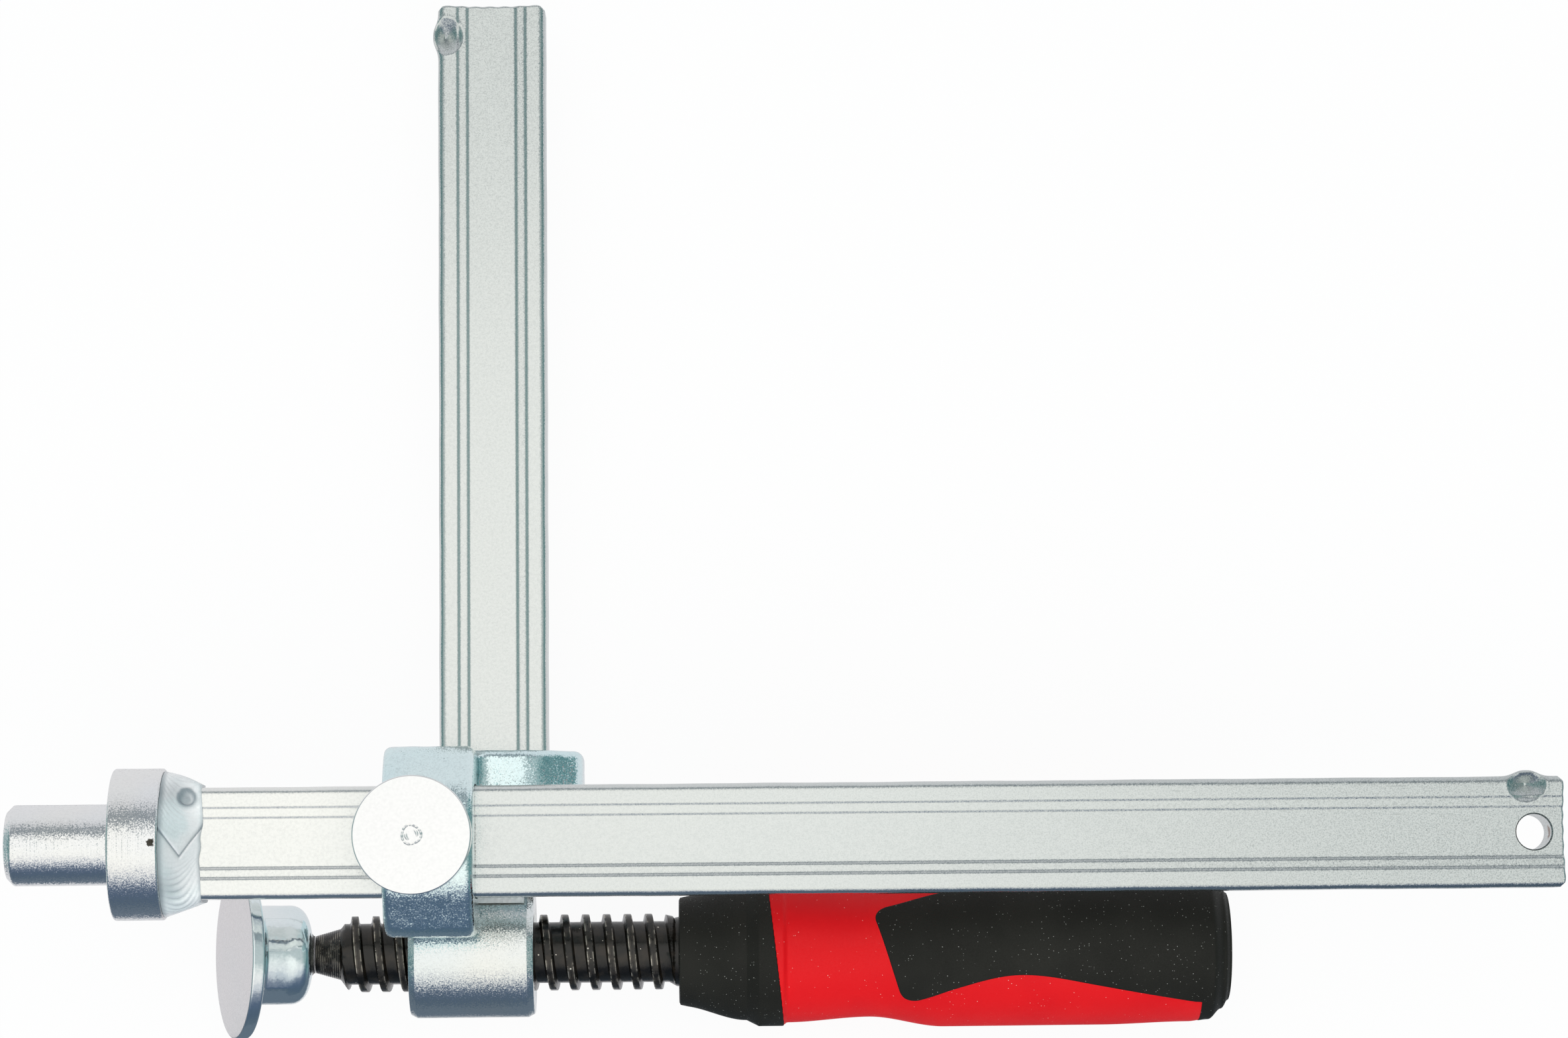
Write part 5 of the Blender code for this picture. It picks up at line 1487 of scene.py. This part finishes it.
@dataclass
class Handle:
    """Two-component handle: red body, soft front collar and soft grip with a closed end."""
    front: Place = (132.45, -21.9887, -24.0)
    length: float = 111.5
    radius: float = 15.77
    soft_skin: float = 2.0
    tip_share: float = 0.942
    corner: float = 3.4
    taper_share: float = 0.122
    land_share: float = 0.144
    collar_share: float = 0.175
    slant: float = 0.110
    inset: float = 0.10
    round_edge: float = 0.34
    waist: tuple = ((0.000, 0.700), (0.122, 0.890), (0.144, 0.972), (0.186, 0.968), (0.196, 0.930),
                    (0.345, 0.867), (0.480, 1.000), (0.765, 0.997), (0.925, 0.965),
                    (0.962, 0.935), (0.986, 0.800), (0.998, 0.690))
    upper: tuple = ((0.346, -36.0), (0.473, -46.2), (0.610, -59.0), (0.765, -66.0), (0.942, -62.0))
    lower: tuple = ((0.404, 49.5), (0.493, 32.0), (0.612, 20.7), (0.755, 29.8), (0.942, 49.0))

    def surface(self, share: Array) -> Array:
        """Radius at shares of the length, eased from station to station."""
        table = np.array(self.waist)
        index = np.clip(np.searchsorted(table[:, 0], share, "right") - 1, 0, len(table) - 2)
        near, far = table[index], table[index + 1]
        part = np.clip((share - near[..., 0]) / (far[..., 0] - near[..., 0]), 0.0, 1.0)
        ease = part * part * (3.0 - 2.0 * part)
        return self.radius * (near[..., 1] + (far[..., 1] - near[..., 1]) * ease)

    @staticmethod
    def edge(table: tuple, share: Array) -> Array:
        """Angle of a panel's long edge: a cubic curve through the table's points."""
        x, y = np.array(table).T
        last = len(x) - 1
        before, after = (np.clip(np.arange(last + 1) + step, 0, last) for step in (-1, 1))
        slopes = (y[after] - y[before]) / (x[after] - x[before])
        clipped = np.clip(share, x[0], x[-1])
        index = np.clip(np.searchsorted(x, clipped, "right") - 1, 0, last - 1)
        run = x[index + 1] - x[index]
        t = (clipped - x[index]) / run
        ease = 3.0 * t ** 2 - 2.0 * t ** 3
        bend = slopes[index] * (t ** 3 - 2.0 * t ** 2 + t) + slopes[index + 1] * (t ** 3 - t ** 2)
        return y[index] * (1.0 - ease) + y[index + 1] * ease + run * bend

    def front_share(self, across: Array) -> Array:
        """Share at which a panel starts, with rounded corners at its sides."""
        width = math.radians(self.lower[0][1] - self.upper[0][1]) * self.radius
        near = np.minimum(across, 1.0 - across) * width
        start = self.upper[0][0] + (self.lower[0][0] - self.upper[0][0]) * across
        return start + quarter_round(near, self.corner) / self.length

    def place(self, share: Array, degrees: Array, radius: Array) -> Array:
        """Points at a share of the length, an angle from +Z towards -Y and a radius."""
        angle = np.radians(degrees)
        return np.stack([share * self.length, -radius * np.sin(angle), radius * np.cos(angle)],
                        axis=-1)

    def panel(self, turn: float) -> tuple[Array, Array]:
        """Shares and angles of one grip panel's grid, finer towards its edges."""
        columns, rows = 56, 84
        across = (1.0 - np.cos(np.pi * np.arange(columns + 1) / columns)) / 2.0
        along = (np.arange(rows + 1) / rows) ** 1.7
        start = self.front_share(across)[None]
        share = start + (self.tip_share - start) * along[:, None]
        top, low = self.edge(self.upper, share), self.edge(self.lower, share)
        return share, top + (low - top) * across[None] + turn

    @staticmethod
    def grid(points: Array) -> Shell:
        """Open quad grid over a (rows, columns, 3) array."""
        rows, columns = points.shape[:2]
        index = np.arange(rows * columns).reshape(rows, columns)
        quads = np.stack([index[:-1, :-1], index[:-1, 1:], index[1:, 1:], index[1:, :-1]],
                         axis=-1)
        return Shell(points.reshape(-1, 3), quads.reshape(-1, 4))

    def grip_shell(self) -> Shell:
        """The soft grip: two panels that run into one closed end.

        Formula: each panel is a grid between its four edges on the handle's surface, and
        the end is a stack of rings to a pole.  Points near the border are lowered by a
        quarter round, and the plate is thickened inwards.

        Returns:
            The closed shell from the handle's front.
        """
        count, length, tip = 26, self.length, self.tip_share
        patches = [self.panel(turn) for turn in (0.0, 180.0)]
        runs = [np.column_stack([np.concatenate([side[::-1, 0], side[0], side[:, -1]])
                                 for side in patch]) for patch in patches]
        one, other = (angle[-1] for _, angle in patches)
        gaps = [np.linspace(one[-1], other[0], count),
                np.linspace(other[-1], one[0] + 360.0, count)]
        runs.extend(np.column_stack([np.full(count, tip), gap]) for gap in gaps)
        starts, ends = self.border([self.flat(run[:, 0], run[:, 1]) for run in runs])

        def lowered(share: Array, angle: Array) -> Array:
            """Radius of the grip with its border rounded."""
            near = line_distance(self.flat(share, angle), starts, ends).reshape(share.shape)
            near = np.where(share > tip + 3.0 / length, self.round_edge, near)
            return self.surface(share) - 1.3 * quarter_round(near, self.round_edge)

        around = np.concatenate([one, gaps[0][1:-1], other, gaps[1][1:]])
        first = tip + np.array((0.0, 0.03, 0.08, 0.15, 0.24, 0.36)) / length
        rings = np.concatenate([first, np.linspace(tip + 0.6 / length, 0.9985, 26)])
        share, angle = np.meshgrid(rings, around, indexing="ij")
        radius = lowered(share, angle)
        pole = np.array(((0.9995, 0.9), (1.0, 0.45), (1.0, 0.003)))
        share, angle = np.meshgrid(np.concatenate([rings, pole[:, 0]]), around, indexing="ij")
        radius = np.vstack([radius, pole[:, 1:] * radius[-1]])
        shells = [self.grid(self.place(*patch, lowered(*patch))) for patch in patches]
        outer = shells[0].joined(shells[1], self.grid(self.place(share, angle, radius))).merged()
        away = np.maximum(polar(outer.points)[1], 1e-3)
        shrink = np.clip(1.0 - self.soft_skin / away, 0.0, 1.0)
        inner = outer.points * np.column_stack([np.ones_like(shrink), shrink, shrink])
        inner[:, 0] = np.minimum(inner[:, 0], length - self.soft_skin)
        return thicken(outer, inner)

    def flat(self, share: Array, degrees: Array) -> Array:
        """Places on the unrolled handle, in millimetres along and round it."""
        return np.column_stack([np.ravel(share) * self.length,
                                np.radians(np.ravel(degrees)) * self.radius])

    def border(self, runs: Sequence[Array]) -> tuple[Array, Array]:
        """Starts and ends of the grip's border lines, repeated one turn to either side."""
        turn = np.array((0.0, TURN * self.radius))
        copies = [run + turn * side for run in runs for side in (-1, 0, 1)]
        return (np.vstack([line[:-1] for line in copies]),
                np.vstack([line[1:] for line in copies]))

    def core_shell(self) -> Shell:
        """The red body: the handle's surface, sunk under the collar, the panels and the end."""
        rear, tip = self.collar_share * self.length, self.tip_share * self.length
        along = stations((3.3, rear - 2.6, 1.0), (rear - 2.6, rear + 3.0, 0.16),
                         (rear + 3.0, tip - 1.0, 0.6), (tip - 1.0, tip + 1.0, 0.12),
                         (tip + 1.0, self.length - 2.4, 0.5))
        share, angle = np.meshgrid(along / self.length, np.arange(320) * 360.0 / 320,
                                   indexing="ij")
        radius = self.surface(share) - self.inset * smoothstep(share, 0.186, 0.200)
        top, low = self.edge(self.upper, share), self.edge(self.lower, share)
        margin = 1.0 / (np.radians(low - top) * self.radius)
        panel_depth, sunk = 0.6, np.zeros_like(radius)
        for turn in (0.0, 180.0):
            across = ((angle - turn + 180.0) % 360.0 - 180.0 - top) / (low - top)
            start = self.front_share(np.clip(across, 0.0, 1.0)) + 1.1 / self.length
            inside = (across > margin) & (across < 1.0 - margin) & (share > start)
            sunk = np.where(inside, panel_depth, sunk)
        edge = rear + self.slant * radius * np.sin(np.radians(angle))
        under = 1.0 - smoothstep(share * self.length - edge, -0.45, -0.05)
        beyond = smoothstep(share, self.tip_share + 0.0035, self.tip_share + 0.0055)
        sunk = np.maximum(sunk, under * (self.soft_skin + 0.35))
        sunk = np.maximum(sunk, beyond * (self.soft_skin + 0.2))
        return skin(self.place(share, angle, radius - sunk))

    def collar_shell(self) -> Shell:
        """The front collar: a stepped profile with a bore, its rear edge cut on a slant."""
        bore, rear, land = 8.2, self.collar_share * self.length, self.land_share * self.length
        taper = np.linspace(0.0, self.taper_share, 16)
        curve = [(x, r, 0.0) for x, r in zip(taper * self.length, self.surface(taper))]
        front, outside = curve[0][1], float(self.surface(np.array(self.collar_share)))
        inner, cup = outside - self.soft_skin, 3.0
        corners = [(0.0, front - 0.7, 0.0), (0.25, front - 0.2, 0.0), *curve[2:-1],
                   (*curve[-1][:2], 0.3), (land, outside, 0.4), (rear, outside, 0.35),
                   (rear, inner, 0.0), (land, inner, 0.0), (cup, bore + 2.0, 0.0),
                   (cup, bore, 0.0), (0.0, bore, 0.0)]
        profile = densify(rounded_path(corners, 5, True), 0.8, True)
        rings = revolve(profile, 192)
        outer = profile[:, 1] > inner - 0.1
        nub = (bell(rings[..., 0] - land, 0.7)
               * bell(np.arctan2(rings[..., 2], -rings[..., 1]) - 0.25, 0.10))
        rings[..., 1:] *= 1.0 + (0.35 * nub * outer[:, None] / outside)[..., None]
        rings[..., 0] -= self.slant * rings[..., 1] * smoothstep(rings[..., 0], land, rear)
        return skin(rings, True)

    def build(self, finishes: Finishes) -> None:
        """Builds and dresses the handle."""
        for node, shell, finish, slot, crease in (
                ("handle_core", self.core_shell(), finishes.red, Slot.RED, 40.0),
                ("handle_collar", self.collar_shell(), finishes.soft, Slot.SOFT, 32.0),
                ("handle_grip", self.grip_shell(), finishes.soft, Slot.SOFT, 50.0)):
            dress(node, shell.moved(self.front), crease, finish, Body.SCREW, slot)


def line_distance(points: Array, starts: Array, ends: Array) -> Array:
    """Distance from points to the nearest of many lines.

    Formula: each point's foot on a line is its start plus a clipped share of its run, and
    the smallest distance to a foot counts.

    Args:
        points: Places (n, 2).
        starts: Start of each line (k, 2).
        ends: End of each line (k, 2).

    Returns:
        One distance for each point.
    """
    run = ends - starts
    size = np.maximum((run ** 2).sum(axis=1), 1e-9)

    def block_distance(block: Array) -> Array:
        """Distances of a few points, so that the tables stay small."""
        away = block[:, None] - starts[None]
        share = np.clip((away * run).sum(axis=-1) / size, 0.0, 1.0)
        return np.sqrt(((away - share[..., None] * run) ** 2).sum(axis=-1)).min(axis=1)

    return np.concatenate([block_distance(block)
                           for block in np.array_split(points, max(1, len(points) // 800))])


# Studio

@dataclass
class Studio:
    """Pale floor, soft light and the camera at the photograph's viewing angle."""
    camera_at: Place = (137.82, -23.10, 896.65)
    camera_turn: Place = (0.09675, -0.0173, -0.00936)
    focal_pixels: float = 6810.17
    image_width: float = 2368.0
    sensor: float = 36.0
    clearance: float = 0.0046
    target: Place = (0.14, 0.03, -0.02)
    lamps: tuple = (("key", (0.02, 0.55, 1.10), 1.30, 3.9),
                    ("fill", (0.26, -0.62, 1.00), 1.20, 3.6),
                    ("low", (0.22, -1.10, 0.12), 0.70, 2.6))
    white: Colour = (1.0, 1.0, 1.0)
    pale: Colour = (0.77, 0.77, 0.79)
    dim: Colour = (0.095, 0.135, 0.185)
    side_wall: tuple = ((0.00, (1.08, 1.08, 1.06)), (0.08, (1.05, 1.05, 1.03)),
                        (0.16, (0.55, 0.60, 0.60)), (0.30, (0.31, 0.42, 0.42)),
                        (0.42, (0.10, 0.21, 0.22)), (0.50, (0.22, 0.36, 0.37)),
                        (0.62, (0.50, 0.58, 0.60)), (0.75, (0.78, 0.81, 0.82)),
                        (1.00, (0.88, 0.88, 0.88)))
    back_wall: tuple = ((0.00, (1.08, 1.08, 1.06)), (0.11, (1.06, 1.06, 1.03)),
                        (0.17, (0.60, 0.62, 0.63)), (0.21, (0.25, 0.285, 0.31)),
                        (0.265, (0.25, 0.285, 0.31)), (0.33, (0.66, 0.67, 0.69)),
                        (0.45, (0.76, 0.77, 0.79)), (1.00, (0.78, 0.78, 0.80)))
    front_wall: tuple = ((0.00, (1.08, 1.08, 1.06)), (0.16, (1.06, 1.06, 1.02)),
                         (0.25, (0.88, 0.88, 0.87)), (0.31, (0.62, 0.65, 0.69)),
                         (0.37, (0.20, 0.24, 0.31)), (0.43, (0.095, 0.135, 0.205)),
                         (0.52, (0.085, 0.125, 0.180)), (0.62, (0.105, 0.145, 0.190)),
                         (0.74, (0.28, 0.31, 0.34)), (1.00, (0.38, 0.39, 0.41)))

    def build(self) -> None:
        """Builds camera, floor, world and lamps."""
        self.build_camera()
        self.build_floor()
        self.build_world()
        self.build_lamps()
        bpy.context.scene.view_settings.view_transform = "Standard"

    def build_camera(self) -> None:
        """Camera of the photograph, turned about X, then Y, then Z."""
        data = bpy.data.cameras.new("camera")
        data.sensor_width = self.sensor
        data.lens = self.focal_pixels * self.sensor / self.image_width
        data.clip_start, data.clip_end = 0.05, 20.0
        camera = bpy.data.objects.new("camera", data)
        bpy.context.collection.objects.link(camera)
        camera.location = Vector(self.camera_at) * MM
        camera.rotation_euler = self.camera_turn
        bpy.context.scene.camera = camera

    def build_floor(self) -> None:
        """Table top, clear of the tilted pad: white to the camera, with a soft shadow in it.

        Formula: diffuse white, mixed with a glow by the kind of ray.  The glow is white,
        but mirrored in the clamp it is pale, and dark in front of the clamp.
        """
        level = (CAD_BOX[0].z - self.clearance) / MM
        points = np.array([(x, y, level) for x, y in (
            (-120.0, -110.0), (430.0, -110.0), (430.0, 420.0), (-120.0, 420.0))])
        floor = write_mesh("table_top", Shell(points, np.array(((0, 1, 2, 3),))), 30.0)
        material = bpy.data.materials.new("table white")
        material.use_nodes = True
        graph = Graph(material.node_tree)
        nodes = material.node_tree.nodes
        nodes.remove(nodes["Principled BSDF"])
        matt = graph.add("BsdfDiffuse", {"Color": (0.93, 0.93, 0.93)}).outputs[0]
        mirrored = graph.mix(graph.span(graph.axes()["Y"], -0.048, -0.038), self.dim, self.pale)
        path = graph.add("LightPath").outputs
        colour = graph.mix(path["Is Glossy Ray"], self.white, mirrored)
        glow = graph.add("Emission", {"Color": colour, "Strength": 1.0}).outputs[0]
        seen, glossy, clear = (
            graph.math("MULTIPLY", path[f"Is {kind} Ray"], level)
            for kind, level in (("Camera", 0.93), ("Glossy", 0.95), ("Transmission", 0.90)))
        share = graph.math("MAXIMUM", graph.math("MAXIMUM", seen, glossy), clear)
        both = graph.add("MixShader", {0: share, 1: matt, 2: glow}).outputs[0]
        graph.feed(nodes["Material Output"].inputs["Surface"], both)
        floor.data.materials.append(material)

    @staticmethod
    def ramp(graph: Graph, height: Socket, stops: Sequence[tuple[float, Colour]]) -> Socket:
        """Colour over the angle from straight up, 0, to straight down, 1."""
        node = graph.add("ValToRGB", {0: height})
        node.color_ramp.interpolation = "EASE"
        while len(node.color_ramp.elements) < len(stops):
            node.color_ramp.elements.new(0.5)
        for element, (place, colour) in zip(node.color_ramp.elements, stops):
            element.position = place
            element.color = (*colour, 1.0)
        return node.outputs[0]

    def build_world(self) -> None:
        """White to the camera; otherwise a soft studio: pale roof, dim walls, dark front."""
        world = bpy.data.worlds.new("studio")
        bpy.context.scene.world = world
        world.use_nodes = True
        graph = Graph(world.node_tree)
        nodes = world.node_tree.nodes
        looking = graph.add("TexCoord").outputs["Generated"]
        up = graph.add("SeparateXYZ", {0: looking}).outputs["Z"]
        height = graph.math("DIVIDE", graph.math("ARCCOSINE", up), math.pi)
        bearing = graph.vector("NORMALIZE", {
            0: graph.vector("MULTIPLY", {0: looking, 1: (1.0, 1.0, 0.0)})})
        across = graph.add("SeparateXYZ", {0: bearing}).outputs["Y"]
        side, back, front = (self.ramp(graph, height, stops) for stops in (
            self.side_wall, self.back_wall, self.front_wall))
        sky = graph.mix(graph.span(across, 0.25, 0.75), side, back)
        sky = graph.mix(graph.span(graph.math("MULTIPLY", across, -1.0), 0.25, 0.75), sky, front)
        room, white = (graph.add("Background", {"Color": colour, "Strength": 1.0}).outputs[0]
                       for colour in (sky, self.white))
        seen = graph.add("LightPath").outputs["Is Camera Ray"]
        both = graph.add("MixShader", {0: seen, 1: room, 2: white}).outputs[0]
        graph.feed(nodes["World Output"].inputs["Surface"], both)

    def build_lamps(self) -> None:
        """Three broad soft lamps, above and in front, that bring the light to a plain level."""
        for name, place, size, watts in self.lamps:
            data = bpy.data.lights.new(name, "AREA")
            data.shape = "DISK"
            data.size = size
            data.energy = watts
            lamp = bpy.data.objects.new(name, data)
            bpy.context.collection.objects.link(lamp)
            lamp.location = place
            lamp.visible_glossy = False
            aim = Vector(self.target) - lamp.location
            lamp.rotation_euler = aim.to_track_quat("-Z", "Y").to_euler()


def main() -> None:
    """Builds the clamp group by group, then the studio."""
    logging.basicConfig(level=logging.INFO, format="%(name)s: %(message)s")
    finishes = Finishes.make()
    for part in (FixedRail(), CrossSlider(), ThroatArm(), Screw(), Handle()):
        part.build(finishes)
    Studio().build()


if __name__ == "__main__":
    main()
